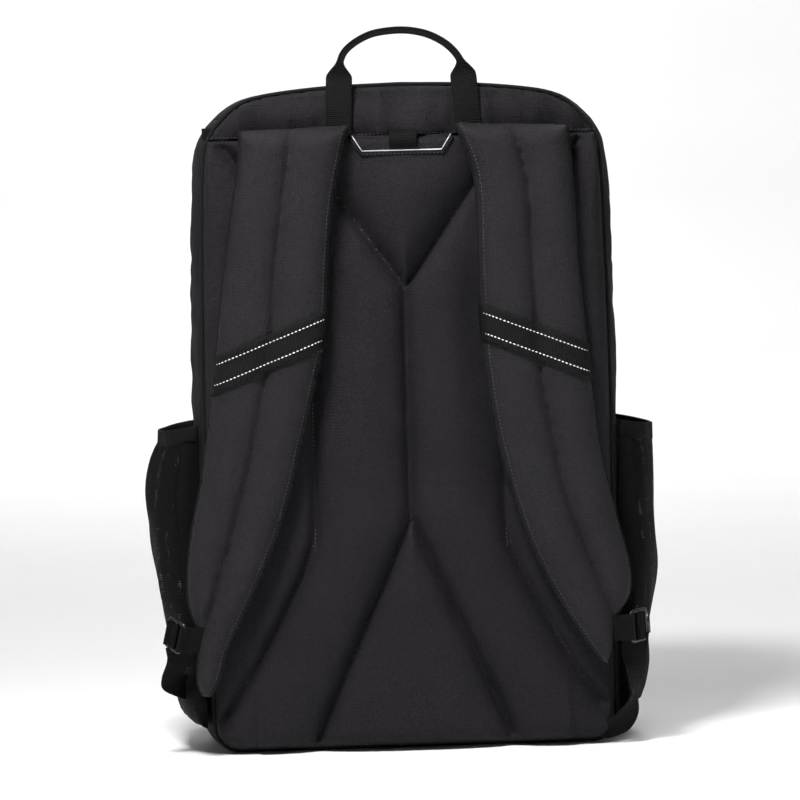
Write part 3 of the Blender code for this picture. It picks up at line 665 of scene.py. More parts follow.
def ripple(x, z, pitch, across=1.0):
    """Smooth, repeatable unevenness between -1 and 1."""
    flat = np.empty(x.size)
    for i, (px, pz) in enumerate(zip(x.ravel(), z.ravel())):
        flat[i] = noise.noise(Vector((px / pitch, pz / pitch * across, 3.7)))
    return flat.reshape(x.shape)


def pad_height(x, z, edge):
    """The quilted lobes: steep at their seams, fuller inside, pressed in beside the straps."""
    seam = distances(x, z, QUILTING)
    in_vee = np.clip((z - SEAM_CENTRE[0][1] - VEE_SLOPE * np.abs(x)) / 0.002 + 0.5, 0, 1)
    lobe = 1 - np.exp(-(seam / (SEAM_REACH + (VEE_REACH - SEAM_REACH) * in_vee)) ** 1.05)
    crown = PAD_CROWN * np.sin(np.clip(seam / 0.06, 0, 1) * math.pi / 2)
    inward = 0.005 * np.sin(np.clip(seam / 0.045, 0, 1) * math.pi / 2)
    width = 0.014 - 0.011 * np.clip((z - 0.4) / 0.05, 0, 1)
    rim = dome(edge, width)
    pucker = ripple(x, z, 0.011, 1.6) * 0.0011 * np.exp(-seam / 0.01) * np.clip(seam / 0.002, 0, 1)
    billow = ripple(x, z, 0.055) * 0.0009
    strap = distances(x, z, STRAP_INNER_LINES)
    pressed = 1 - 0.5 * np.exp(-(strap / 0.017) ** 2) * np.clip((0.425 - z) / 0.02, 0, 1)
    upper = np.clip((0.45 - z) / 0.022, 0, 1)
    rise = SEAM_RISE + (PAD_RISE - SEAM_RISE - PAD_CROWN) * lobe * pressed + crown + pucker + billow * lobe
    rise = rise + VEE_LEAN * in_vee * lobe * np.clip((0.455 - z) / 0.09, 0, 1)
    rise = rise + inward * (1 - np.exp(-(strap / 0.028) ** 2)) * (np.abs(x) < 0.12) * upper
    low = RIM_RISE + 0.0045 * np.clip((z - 0.455) / 0.01, 0, 1)
    return low + (rise - low) * rim


def yoke_height(x, z, edge):
    """The yoke's puckers, which are strongest at its seam and pressed flat beside the handle's legs."""
    rim = dome(edge, 0.0028)
    below = np.clip((z - YOKE_SEAM_Z) / 0.03, 0, 1)
    folds = ripple(x, z, 0.016, 0.35) * 0.0085 + ripple(x, z, 0.009, 0.6) * 0.001
    free = 1 - np.exp(-((np.abs(x) - 0.049) / 0.012) ** 4)
    rise = 0.0066 + (0.003 * np.sin(math.pi * below) + folds * np.exp(-below * 0.8)) * (0.25 + 0.75 * free)
    low = RIM_RISE + 0.0045 * np.clip((YOKE_SEAM_Z + 0.012 - z) / 0.008, 0, 1)
    return low + (rise - low) * rim


def rise_at(height, place):
    """The height of a padded surface at one place well inside its edge."""
    return float(height(np.array([place.x]), np.array([place.y]), np.array([0.05]))[0])


def surface_line(line, height, back_y, pitch, lift=0.0006):
    """Places, directions and outward ways of stitches along a line on a padded surface."""
    result = []
    for place, along in spaced(smooth_path(line, 0.004), pitch):
        y = back_y - rise_at(height, place) - lift
        result.append((Vector((place.x, y, place.y)), Vector((along.x, 0.0, along.y)), BACKWARDS))
    return result


def back_padding():
    """The quilted back panel, up to the yoke seam, and the sewing in its seams."""
    outline = [p for p in shell_outline(0.0018, BACK_SEAM_Y) if p[1] < YOKE_SEAM_Z - 0.0001]
    right = [p for p in outline if p[0] > 0]
    right.sort(key=lambda p: (p[1] > 0.02, p[1] if p[1] > 0.02 else p[0]))
    right.append((right[-1][0] - 0.0005, YOKE_SEAM_Z - 0.0001))
    outline = right + mirrored(right)[::-1]
    pad = height_field("back_padding", outline, 0.0022, pad_height, CLOTH_BACK_Y, MATERIALS["back_cloth"])
    nodes = [f"pad_{part}" for part in ("upper", "lower", "centre_left", "centre_right", "side_left",
                                        "side_right")]
    finish_piece(pad, "bag", "back_cloth", *nodes, "back_panel")
    places = []
    for line in QUILTING:
        places += surface_line(line, pad_height, CLOTH_BACK_Y, QUILT_STITCH[0])
    sewing = stitches("quilting_stitches", places, QUILT_STITCH, DARK_THREAD_WITH_PAINTED_HIGHLIGHT)
    finish_piece(sewing, "bag", "back_cloth")


def yoke():
    """The puckered yoke between the harness seam and the top piping."""
    outline = [p for p in shell_outline(0.0018, BACK_SEAM_Y) if p[1] > YOKE_SEAM_Z + 0.0006]
    right = sorted((p for p in outline if p[0] > 0), key=lambda p: math.atan2(p[1] - 0.44, p[0]))
    left = sorted((p for p in outline if p[0] <= 0), key=lambda p: math.atan2(p[1] - 0.44, p[0]))
    edge_x = right[0][0]
    outline = [(edge_x, YOKE_SEAM_Z + 0.0001), *right, *left, (-edge_x, YOKE_SEAM_Z + 0.0001)]
    pad = height_field("yoke_cloth", outline, 0.0022, yoke_height, CLOTH_BACK_Y, MATERIALS["back_cloth"])
    finish_piece(pad, "bag", "back_cloth", "yoke_panel")
    line = [(-0.148, YOKE_SEAM_Z + 0.0024), (0.148, YOKE_SEAM_Z + 0.0024)]
    places = surface_line(line, yoke_height, CLOTH_BACK_Y, EDGE_STITCH[0])
    finish_piece(stitches("yoke_stitches", places, EDGE_STITCH, DARK_THREAD_WITH_PAINTED_HIGHLIGHT), "bag", "back_cloth")


TRIM_PATH = ((-0.0375, 0.469), (-0.0338, 0.463), (-0.0302, 0.4574), (0.0302, 0.4574), (0.0338, 0.463),
             (0.0375, 0.469))


def reflective_edge():
    """The silver edge under the yoke, the black piping below it, the cloth between and their sewing."""
    y = PAD_Y - 0.0008
    corner = [Vector((x, y, z)) for x, z in TRIM_PATH]
    trim = tube("silver_edge", corner, 0.00042, MATERIALS["reflective_silver"], sides=12)
    finish_piece(trim, "bag", "reflective_silver", "reflective_trim")
    below = [Vector((x * 1.03, y + 0.0004, z - 0.0024)) for x, z in TRIM_PATH]
    finish_piece(tube("recess_piping", below, 0.0016, MATERIALS["zip_tape"]), "bag", "piping")
    line = [Vector((x, y - 0.0014, 0.4549)) for x in (-0.031, 0.031)]
    places = [(place, along, BACKWARDS) for place, along in spaced(line, RECESS_STITCH[0])]
    finish_piece(stitches("recess_stitches", places, RECESS_STITCH, DARK_THREAD_WITH_PAINTED_HIGHLIGHT), "bag", "back_cloth")
    outline = [(0.0372, 0.469), (0.03, 0.457), (-0.03, 0.457), (-0.0372, 0.469)]

    def height(x, z, edge):
        return 0.0078 + 0.0012 * np.clip(edge / 0.004, 0, 1) + ripple(x, z, 0.012) * 0.0006

    cloth = height_field("recess_cloth", outline, 0.0014, height, CLOTH_BACK_Y - 0.003,
                         MATERIALS["back_cloth"])
    finish_piece(cloth, "bag", "back_cloth", "recess_panel")


def hang_loop():
    """The narrow loop of webbing that stands over the recess."""
    path = [(0.001, -0.1125, 0.4586), (0.001, -0.115, 0.4606), (0.001, -0.118, 0.4645),
            (0.001, -0.1174, 0.469), (0.001, -0.113, 0.4718), (0.001, -0.1075, 0.4722)]
    side = Vector((1.0, 0.0, 0.0))
    loop = ribbon("hang_loop_webbing", path, [side, side], 0.021, 0.0015, MATERIALS["webbing"], 0.0012)
    finish_piece(loop, "bag", "webbing", "hang_loop")


# Piping ----------------------------------------------------------------------------------------------------

def piping(name, node, y, inset):
    """A cloth-covered cord round the shell's edge."""
    ring = [Vector((x, y, max(z, 0.0018))) for x, z in shell_outline(inset, y)]
    cord = tube(name, ring, 0.0017, MATERIALS["piping"], closed=True)
    finish_piece(cord, "bag" if "rear" in name else "lid", "piping", node)


# Carry handle ----------------------------------------------------------------------------------------------

HANDLE_PATH = ((-0.0474, 0.469), (-0.0472, 0.4765), (-0.0467, 0.49), (-0.0462, 0.506), (-0.0456, 0.519),
               (-0.0441, 0.5275), (-0.0398, 0.5345), (-0.0308, 0.5412), (-0.0188, 0.5462), (-0.002, 0.5482),
               (0.012, 0.5472), (0.0244, 0.5436), (0.036, 0.5368), (0.044, 0.5283), (0.0472, 0.5205),
               (0.049, 0.506), (0.0504, 0.49), (0.0516, 0.4765), (0.0519, 0.469))

# Half the webbing's width and depth where it lies flat, and where it is folded
LEG_HALF = (0.01, 0.0009)
GRIP_HALF = (0.0027, 0.0052)
HANDLE_FOLD_Z = 0.513


def carry_handle():
    """One length of webbing: flat where it is sewn to the yoke, folded in half along the grip."""
    path = smooth_path(HANDLE_PATH, 0.0022)
    yoke_y = CLOTH_BACK_Y - 0.0098
    rows = []
    for place, along in zip(path, directions(path)):
        normal = Vector((-along.y, along.x))
        folded = ease((place.y - HANDLE_FOLD_Z) / 0.013)
        half_wide = LEG_HALF[0] + (GRIP_HALF[0] - LEG_HALF[0]) * folded
        half_deep = LEG_HALF[1] + (GRIP_HALF[1] - LEG_HALF[1]) * folded
        y = yoke_y - 0.0008 - 0.0012 * folded
        row = []
        for angle, wide, deep in flattened(28, 0.55):
            crease = 0.0012 * folded * math.exp(-((angle - 1.5 * math.pi) / 0.35) ** 2)
            across = normal * wide * half_wide
            row.append(Vector((place.x + across.x, y + deep * half_deep + crease, place.y + across.y)))
        rows.append(row)
    handle = skin("handle_webbing", rows, MATERIALS["webbing"], False, True, True, True)
    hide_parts("carry_handle", "handle_leg_left", "handle_leg_right")
    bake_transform(handle)


# Shoulder straps -------------------------------------------------------------------------------------------

STRAP_EDGE = 0.005
STRAP_ROUNDING = 0.019
STRAP_TOP_Z = 0.4772
CHANNEL_HALF = 0.017
CHANNEL_SHARE = 0.34
STRAP_RISE = STRAP_BACK_Y - STRAP_FRONT_Y + 0.0042


def strap_outline(side):
    edges = STRAP_EDGES[side]
    outer = smooth_path(edges["outer"], 0.006)
    inner = smooth_path(edges["inner"], 0.006)
    return [(p.x, p.y) for p in outer + inner[::-1]]


def strap_height(side):
    """The height of a strap's face: two lobes with a sewn channel between, flattened at its sewn top."""
    channel = [[(p.x, p.y) for p in smooth_path(STRAP_EDGES[side]["channel"], 0.006)]]
    outline = strap_outline(side)

    def height(x, z, edge=None):
        if edge is None:
            edge = distances(x, z, [outline + outline[:1]])
            edge = np.where(inside(x, z, outline), edge, 0.0)
        groove = distances(x, z, channel)
        bulk = dome(edge, STRAP_ROUNDING)
        lobe = CHANNEL_SHARE + (1 - CHANNEL_SHARE) * dome(groove, CHANNEL_HALF)
        top = np.clip((STRAP_TOP_Z - z) / 0.012, 0, 1)
        sewn = CHANNEL_SHARE + (1 - CHANNEL_SHARE) * dome(top, 1)
        creases = ripple(x, z, 0.016, 2.2) * 0.001 * np.clip((0.24 - z) / 0.12, 0.25, 1)
        billow = ripple(x, z, 0.04) * 0.0008
        foam = (STRAP_RISE - STRAP_EDGE) * sewn * lobe
        return STRAP_EDGE * (0.6 + 0.4 * top) + foam * bulk + (creases + billow) * bulk

    return height


def edge_line(side, which, lift, inset):
    """A line that follows a strap's edge, set in from it, near the strap's mid thickness."""
    points = smooth_path(STRAP_EDGES[side][which], 0.004)
    sign = 1 if (which == "inner") == (side == "right") else -1
    line = []
    for point, along in zip(points, directions(points)):
        normal = Vector((-along.y, along.x)) * sign
        moved = point + normal * inset
        line.append(Vector((moved.x, STRAP_BACK_Y - lift, moved.y)))
    return line


def flat_tube(name, points, half_wide, half_deep, material):
    """A binding tape folded over an edge: a flattened tube along a line in the upright plane."""
    rows = []
    for point, along in zip(points, directions(points)):
        side = along.cross(-BACKWARDS).normalized()
        rows.append([point + side * wide * half_wide - BACKWARDS * deep * half_deep
                     for _, wide, deep in flattened(14, 0.7)])
    return skin(name, rows, material, False, True, True, True)


def shoulder_strap(side):
    """The foam strap with its channel, its bound edges and the sewing along them."""
    body = f"strap_{side}"
    height = strap_height(side)
    pad = height_field(f"strap_padding_{side}", strap_outline(side), 0.0022, height, STRAP_BACK_Y,
                       MATERIALS["strap_cloth"])
    finish_piece(pad, body, "strap_cloth", f"shoulder_strap_{side}", f"strap_lining_{side}")
    for which in ("inner", "outer"):
        line = edge_line(side, which, STRAP_EDGE * 0.52, 0.0006)
        binding = flat_tube(f"strap_binding_{which}_{side}", line, 0.0017, STRAP_EDGE * 0.62,
                            MATERIALS["piping"])
        finish_piece(binding, body, "piping")
    places = []
    for place, along in spaced(edge_line(side, "inner", 0.0, 0.0036), EDGE_STITCH[0]):
        rise = float(height(np.array([place.x]), np.array([place.z]))[0])
        places.append((Vector((place.x, STRAP_BACK_Y - rise - 0.0001, place.z)), along, BACKWARDS))
    sewing = stitches(f"strap_stitches_{side}", places, EDGE_STITCH, DARK_THREAD_WITH_PAINTED_HIGHLIGHT)
    finish_piece(sewing, body, "strap_cloth")


BAND_ENDS = {"left": ((-0.0592, 0.3249), (-0.1432, 0.2921)), "right": ((0.0562, 0.326), (0.1386, 0.2936))}
BAND_HALF = 0.0125
BAND_SEWING = (-0.007, 0.007)


def reflective_band(side):
    """Webbing across the strap, drawn over both lobes and round the edges, with two rows of white sewing."""
    body = f"strap_{side}"
    height = strap_height(side)
    start, end = (Vector(p) for p in BAND_ENDS[side])
    outline = strap_outline(side)
    along = (end - start).normalized()
    across = Vector((-along.y, along.x))
    count = 70
    reach = (end - start).length
    widths = [BAND_HALF * k / 6 for k in range(-6, 7)]
    surface = {}
    for v in (*widths, *BAND_SEWING):
        trial = np.linspace(-0.03, reach + 0.03, 600)
        x = start.x + along.x * trial + across.x * v
        z = start.y + along.y * trial + across.y * v
        on = inside(x, z, outline)
        run = np.linspace(trial[on].min() - 0.0012, trial[on].max() + 0.0012, count + 1)
        x = start.x + along.x * run + across.x * v
        z = start.y + along.y * run + across.y * v
        rise = height(x, z)
        for _ in range(10):
            rise[2:-2] = np.maximum(rise[2:-2], (rise[1:-3] + rise[3:-1]) / 2)
        rise[0] = rise[-1] = 0.0015
        rise = rise + 0.0011
        surface[v] = [Vector((px, STRAP_BACK_Y - py, pz)) for px, py, pz in zip(x, rise, z)]
    rows = [[surface[v][i] for v in widths] for i in range(count + 1)]
    band = thicken(skin(f"band_{side}", rows, MATERIALS["band_webbing"]), 0.0012)
    finish_piece(band, body, "band_webbing", f"reflective_band_{side}")
    places = []
    for v in BAND_SEWING:
        places += [(place + BACKWARDS * 0.0008, along, BACKWARDS)
                   for place, along in spaced(surface[v][1:-1], BAND_STITCH[0])]
    sewing = stitches(f"band_stitches_{side}", places, BAND_STITCH, WHITE_THREAD)
    finish_piece(sewing, body, "band_webbing")


# Ladder locks and adjuster webbing -------------------------------------------------------------------------

LOCK_CENTRE = {"right": Vector((0.1715, -0.118, 0.091)), "left": Vector((-0.182, -0.118, 0.094))}
LOCK_YAW = {"right": math.radians(45), "left": math.radians(130)}
LOCK_ROLL = {"right": math.radians(-4), "left": math.radians(-20)}
LOCK_LENGTH = 0.021
LOCK_WIDTH = 0.0255


def lock_frame(side):
    return (Matrix.Translation(LOCK_CENTRE[side]) @ Matrix.Rotation(LOCK_YAW[side], 4, "Z")
            @ Matrix.Rotation(LOCK_ROLL[side], 4, "Y"))


def ladder_lock(side):
    """A moulded lock: a rounded frame with a middle bar and a lifting lip on its outer bar."""
    half_l = LOCK_LENGTH / 2 - 0.0015
    half_w = LOCK_WIDTH / 2 - 0.0014
    ring = [Vector((x, 0.0, z)) for x, z in rounded(-half_l, -half_w, half_l, half_w, 0.0026, 4)]
    bar = [Vector((0.0, 0.0006, z)) for z in (-half_w, half_w)]
    lip = [Vector((half_l + 0.001, -0.001, z)) for z in (-half_w + 0.004, half_w - 0.004)]
    mesh_data = bmesh.new()
    for points, closed, radius in ((ring, True, 0.0015), (bar, False, 0.0014), (lip, False, 0.0016)):
        part = tube("bar", points, radius, MATERIALS["ladder_lock_plastic"], closed=closed, sides=12)
        mesh_data.from_mesh(part.data)
        bpy.data.objects.remove(part)
    mesh_data.transform(lock_frame(side))
    lock = as_object(mesh_data, f"lock_moulding_{side}", MATERIALS["ladder_lock_plastic"])
    finish_piece(lock, f"lock_{side}", "ladder_lock_plastic", f"ladder_lock_{side}")


def strap_end(side, start):
    """The webbing sewn into the strap's end, doubled round the lock's inner bar."""
    turn = lock_frame(side)
    upright = turn.to_3x3() @ Vector((0.0, 0.0, 1.0))
    inner = turn @ Vector((-LOCK_LENGTH / 2 + 0.0015, 0.0, 0.0))
    front = turn @ Vector((-LOCK_LENGTH / 2 + 0.0012, -0.0026, 0.0))
    round_bar = turn @ Vector((-LOCK_LENGTH / 2 + 0.0042, 0.0, 0.0))
    back = turn @ Vector((-LOCK_LENGTH / 2 + 0.0012, 0.0026, 0.0))
    behind = start.lerp(inner, 0.4) + Vector((0.0, 0.003, 0.0))
    path = [start, start.lerp(front, 0.6), front, round_bar, back, behind]
    webbing = ribbon(f"strap_end_{side}", path, [upright, upright], WEBBING_WIDTH, 0.0014,
                     MATERIALS["webbing"], 0.0014)
    finish_piece(webbing, f"strap_{side}", "webbing", f"strap_end_webbing_{side}")


def adjuster(side, centres, sides):
    """The adjuster webbing: over the lock's middle bar, down past a twist and into the bottom corner."""
    turn = lock_frame(side)
    upright = turn.to_3x3() @ Vector((0.0, 0.0, 1.0))
    threaded = [turn @ Vector(p) for p in ((0.001, 0.0036, 0.0), (-0.0022, 0.0006, 0.0), (0.0, -0.0022, 0.0),
                                           (0.005, -0.0008, 0.0), (0.0085, 0.003, -0.001))]
    over = ribbon(f"lock_webbing_{side}", threaded, [upright, upright], WEBBING_WIDTH, 0.0013,
                  MATERIALS["webbing"], 0.0012)
    finish_piece(over, f"lock_{side}", "webbing")
    webbing = ribbon(f"adjuster_{side}", centres, sides, WEBBING_WIDTH, 0.0014, MATERIALS["webbing"], 0.0025,
                     crown=0.0006)
    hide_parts(f"adjuster_webbing_{side}", f"webbing_anchor_{side}")
    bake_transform(webbing)


def adjusters():
    adjuster("right",
             [(0.17, -0.112, 0.084), (0.168, -0.112, 0.072), (0.1692, -0.11, 0.058),
              (0.168, -0.1085, 0.042), (0.165, -0.1085, 0.026), (0.156, -0.108, 0.014),
              (0.144, -0.1055, 0.0098), (0.135, -0.103, 0.0088)],
             [Vector((1.0, -0.2, 0.1)), Vector((1.0, -0.1, 0.0)), Vector((0.55, 0.85, 0.0)),
              Vector((0.3, 0.95, 0.0)), Vector((0.85, 0.4, -0.35)), Vector((0.8, 0.1, -0.55)),
              Vector((0.75, 0.05, -0.62)), Vector((0.78, 0.05, -0.6))])
    adjuster("left",
             [(-0.18, -0.112, 0.085), (-0.179, -0.111, 0.074), (-0.184, -0.109, 0.064),
              (-0.185, -0.1, 0.056), (-0.174, -0.086, 0.049), (-0.162, -0.08, 0.04),
              (-0.156, -0.083, 0.03), (-0.1535, -0.088, 0.022)],
             [Vector((1.0, 0.2, 0.1)), Vector((1.0, 0.1, 0.0)), Vector((0.9, 0.3, 0.45)),
              Vector((0.5, 0.4, 0.75)), Vector((0.1, 0.6, 0.75)), Vector((0.05, 0.85, 0.5)),
              Vector((0.05, 0.9, 0.4)), Vector((0.05, 0.9, 0.4))])


# Gussets ---------------------------------------------------------------------------------------------------

FLANGE_S = length_at_height(0.035)
TOP_S = next(LENGTHS[i] for i, p in enumerate(SEAM) if p.x < 0.1395 and p.y > 0.4)
REAR_DEPTHS = (BACK_SEAM_Y, ZIP_Y - 0.003)
LID_DEPTHS = (ZIP_Y + 0.003, FRONT_SEAM_Y)


def gusset(name, node, s_start, s_end, y_near, y_far, body, slump=1.0):
    """A strip of the shell whose cloth slumps between its seams in soft diagonal folds."""
    columns = max(24, round(abs(s_end - s_start) / 0.0036))
    rows = max(14, round(abs(y_far - y_near) / 0.0034))
    grid = []
    for r in range(rows + 1):
        y = y_near + (y_far - y_near) * r / rows
        line = []
        for c in range(columns + 1):
            s = s_start + (s_end - s_start) * c / columns
            point = at_depth(seam_at(s), y)
            ahead = at_depth(seam_at(s + 0.002), y)
            behind = at_depth(seam_at(s - 0.002), y)
            along = (ahead - behind).normalized()
            out = Vector((along.z, 0.0, -along.x))
            ends = min(1.0, 6 * c / columns, 6 * (columns - c) / columns)
            free = math.sin(math.pi * r / rows) ** 0.7 * ends
            folds = noise.noise(Vector((s / 0.045 + y / 0.05, y / 0.03, 1.3)))
            fine = noise.noise(Vector((s / 0.014, y / 0.026, 7.9)))
            edge_pull = math.exp(-min(r, rows - r) / 3.0) * noise.noise(Vector((s / 0.008, 2.2, 0.5)))
            lift = (0.0028 * folds + 0.0011 * fine) * free + 0.001 * edge_pull * (0 < r < rows)
            if abs(point.z) < 0.004:
                lift = 0.0
            line.append(point + out * slump * lift)
        grid.append(line)
    cloth = thicken(skin(name, grid, MATERIALS["shell_cloth"]), 0.001, -1.0)
    return finish_piece(cloth, body, "shell_cloth", node)


def gussets():
    gusset("base_cloth", "bottom_panel", -FLANGE_S, FLANGE_S, REAR_DEPTHS[0], LID_DEPTHS[1], "bag", 0.5)
    for prefix, (y_near, y_far), body in (("rear", REAR_DEPTHS, "bag"), ("lid", LID_DEPTHS, "lid")):
        over = 2 * SEAM_LENGTH - TOP_S
        gusset(f"{prefix}_side_right", f"{prefix}_gusset_right", FLANGE_S, TOP_S, y_near, y_far, body)
        gusset(f"{prefix}_side_left", f"{prefix}_gusset_left", -TOP_S, -FLANGE_S, y_near, y_far, body)
        gusset(f"{prefix}_top", f"{prefix}_gusset_top", TOP_S, over, y_near, y_far, body, 0.6)


# Net pockets -----------------------------------------------------------------------------------------------

POCKET_SEAMS = (-0.088, -0.008)
POCKET_GAP = 0.0012
POCKET_STEPS = 30
LUMP_Z = 0.04
LUMP_SPREAD = 0.026
ELASTIC_HEIGHT = 0.013
ELASTIC_DROOP = 0.005


def pocket_row(z, out, sign, ruffle=0.0, pleat=0.0, slump=0.0):
    """One row round the pocket from its rear seam to its front seam, with a pleat folded in at the rear."""
    base = seam_at(length_at_height(max(z, 0.022))).x
    rear, front = POCKET_SEAMS
    lump = slump * math.exp(-((z - LUMP_Z) / LUMP_SPREAD) ** 2)
    row = []
    if pleat:
        wall = at_depth(Vector((base, z)), rear).x + POCKET_GAP
        for share, y in zip((0.0, 0.4, 0.8, 1.0, 0.8, 0.4), (0.001, -0.0015, -0.003, -0.0025, -0.001, 0.0)):
            row.append(Vector((sign * (wall + out * pleat * share), rear + y - 0.001 - lump, z)))
    for i in range(POCKET_STEPS + 1):
        angle = math.pi * i / POCKET_STEPS
        y = (rear + front) / 2 - math.cos(angle) * (front - rear) / 2
        wall = at_depth(Vector((base, z)), y).x + POCKET_GAP
        wave = noise.noise(Vector((y / 0.016, z / 0.05, sign * 4.0))) * 0.003 * math.sin(angle)
        gather = ruffle * math.sin(i * 2.4) * math.sin(angle)
        sag = lump * max(0.0, 1 - (angle / (0.62 * math.pi)) ** 2)
        row.append(Vector((sign * (wall + out * math.sin(angle) ** 0.8 + wave + gather), y - sag, z)))
    return row


def net_pocket(side, sign, profile, mouth):
    """The net between its two side seams, bulging with nothing in it, and the elastic at its mouth."""
    slump = 0.016 * (sign < 0)
    rows = []
    for z, out in smooth_path(profile, 0.006):
        ruffle = 0.001 * ease((z - 0.19) / 0.05)
        pleat = 0.52 + 0.06 * noise.noise(Vector((z / 0.05, sign, 0.0)))
        rows.append(pocket_row(z, max(out, 0.001), sign, ruffle, pleat, slump))
    net = skin(f"net_{side}", rows, MATERIALS["pocket_net"])
    finish_piece(net, "bag", "pocket_net", f"mesh_pocket_{side}")
    top_out = profile[-1][1] + 0.0006
    columns = []
    lower = pocket_row(mouth, top_out, sign)
    upper = pocket_row(mouth + ELASTIC_HEIGHT, top_out, sign)
    for i, (low, high) in enumerate(zip(lower, upper)):
        droop = Vector((0.0, 0.0, -ELASTIC_DROOP * math.sin(math.pi * i / POCKET_STEPS)))
        columns.append([low.lerp(high, k / 4) + droop for k in range(5)])
    elastic = thicken(skin(f"elastic_{side}", columns, MATERIALS["elastic"]), 0.0018)
    finish_piece(elastic, "bag", "elastic", f"pocket_elastic_{side}")


def net_pockets():
    net_pocket("left", -1, ((0.019, 0.001), (0.021, 0.008), (0.026, 0.014), (0.036, 0.018), (0.055, 0.02),
                            (0.08, 0.022), (0.105, 0.027), (0.135, 0.032), (0.17, 0.0355), (0.2, 0.037),
                            (0.225, 0.031), (0.238, 0.025)), 0.2384)
    net_pocket("right", 1, ((0.021, 0.001), (0.023, 0.008), (0.028, 0.014), (0.036, 0.017), (0.055, 0.02),
                            (0.08, 0.021), (0.1, 0.024), (0.135, 0.0275), (0.17, 0.0275), (0.2, 0.0265),
                            (0.222, 0.025), (0.234, 0.024)), 0.2342)


# Zips, front and carried-over parts ------------------------------------------------------------------------

# The pitch, length and radius of a coil's teeth, and the quilted chevrons of the racket flap
ZIP_TEETH = (0.0016, 0.0044, 0.0007)
FLAP_QUILTING = [[(-0.118, z), (0.0, z - 0.038), (0.118, z)] for z in (0.3, 0.345)]


def coil(name, path, out, body):
    """A zip's coil: short teeth across a path, which lie proud of the tapes."""
    places = []
    for place, along in spaced(path, ZIP_TEETH[0]):
        way = out(place)
        places.append((place + way * 0.0006, along.cross(way).normalized(), way))
    teeth = stitches(name, places, ZIP_TEETH, MATERIALS["ladder_lock_plastic"])
    return finish_piece(teeth, body, "zip_tape")


def outward(place):
    """The way out of the shell at a point beside the zip."""
    inner_x = min(max(place.x, -0.06), 0.06)
    inner_z = min(max(place.z, 0.1), 0.4)
    return Vector((place.x - inner_x, 0.0, place.z - inner_z)).normalized()


def main_zip():
    """The two tapes of the main zip and the coil between them."""
    start = FLANGE_S + 0.004
    count = 130
    stations = [start + (2 * SEAM_LENGTH - 2 * start) * i / count for i in range(count + 1)]
    for node, body, near, far in (("main_zip_rear_tape", "bag", -0.0056, -0.0004),
                                  ("main_zip_front_tape", "lid", 0.0004, 0.0056)):
        rows = []
        for s in stations:
            points = [at_depth(seam_at(s), near + (far - near) * k / 3) for k in range(4)]
            rows.append([point + outward(point) * 0.0006 for point in points])
        tape = thicken(skin(node.replace("main_zip", "zip"), rows, MATERIALS["zip_tape"]), 0.0009)
        finish_piece(tape, body, "zip_tape", node)
    path = [at_depth(seam_at(s), -0.0001) for s in stations]
    coil("main_zip_coil", path, outward, "bag")


def flap_ring(clearance):
    half = FLAP_HIGH.x + 0.0016 - clearance
    bottom = FLAP_LOW.z - 0.0016 + clearance
    top = FLAP_HIGH.z + 0.0016 - clearance
    radius = 0.055 - clearance
    ring = [(-half, bottom), (half, bottom)]
    for i in range(13):
        angle = i * math.pi / 24
        ring.append((half - radius + radius * math.cos(angle), top - radius + radius * math.sin(angle)))
    return ring + [(-x, z) for x, z in ring[:1:-1]]


def front_height(x, z, edge):
    rim = dome(edge, 0.006)
    folds = ripple(x, z, 0.024, 0.7) * 0.0011 + ripple(x, z, 0.07) * 0.0012
    return 0.001 + (0.0024 + folds) * rim


def flap_height(x, z, edge):
    rim = dome(edge - 0.004, 0.018)
    quilting = np.exp(-(distances(x, z, FLAP_QUILTING) / 0.005) ** 2)
    folds = ripple(x, z, 0.026) * 0.0009
    return 0.0016 + (0.0062 + folds - 0.004 * quilting) * rim


def pouch_height(x, z, edge):
    rim = dome(edge, 0.014, 2.6)
    sag = 0.0016 * np.sin(math.pi * np.clip((z - POCKET_LOW.z) / (POCKET_HIGH.z - POCKET_LOW.z), 0, 1))
    folds = ripple(x, z, 0.03, 0.8) * 0.0015 + ripple(x, z, 0.012) * 0.0004
    return 0.0012 + (POCKET_HIGH.y - POCKET_LOW.y - 0.0026 + sag + folds) * rim


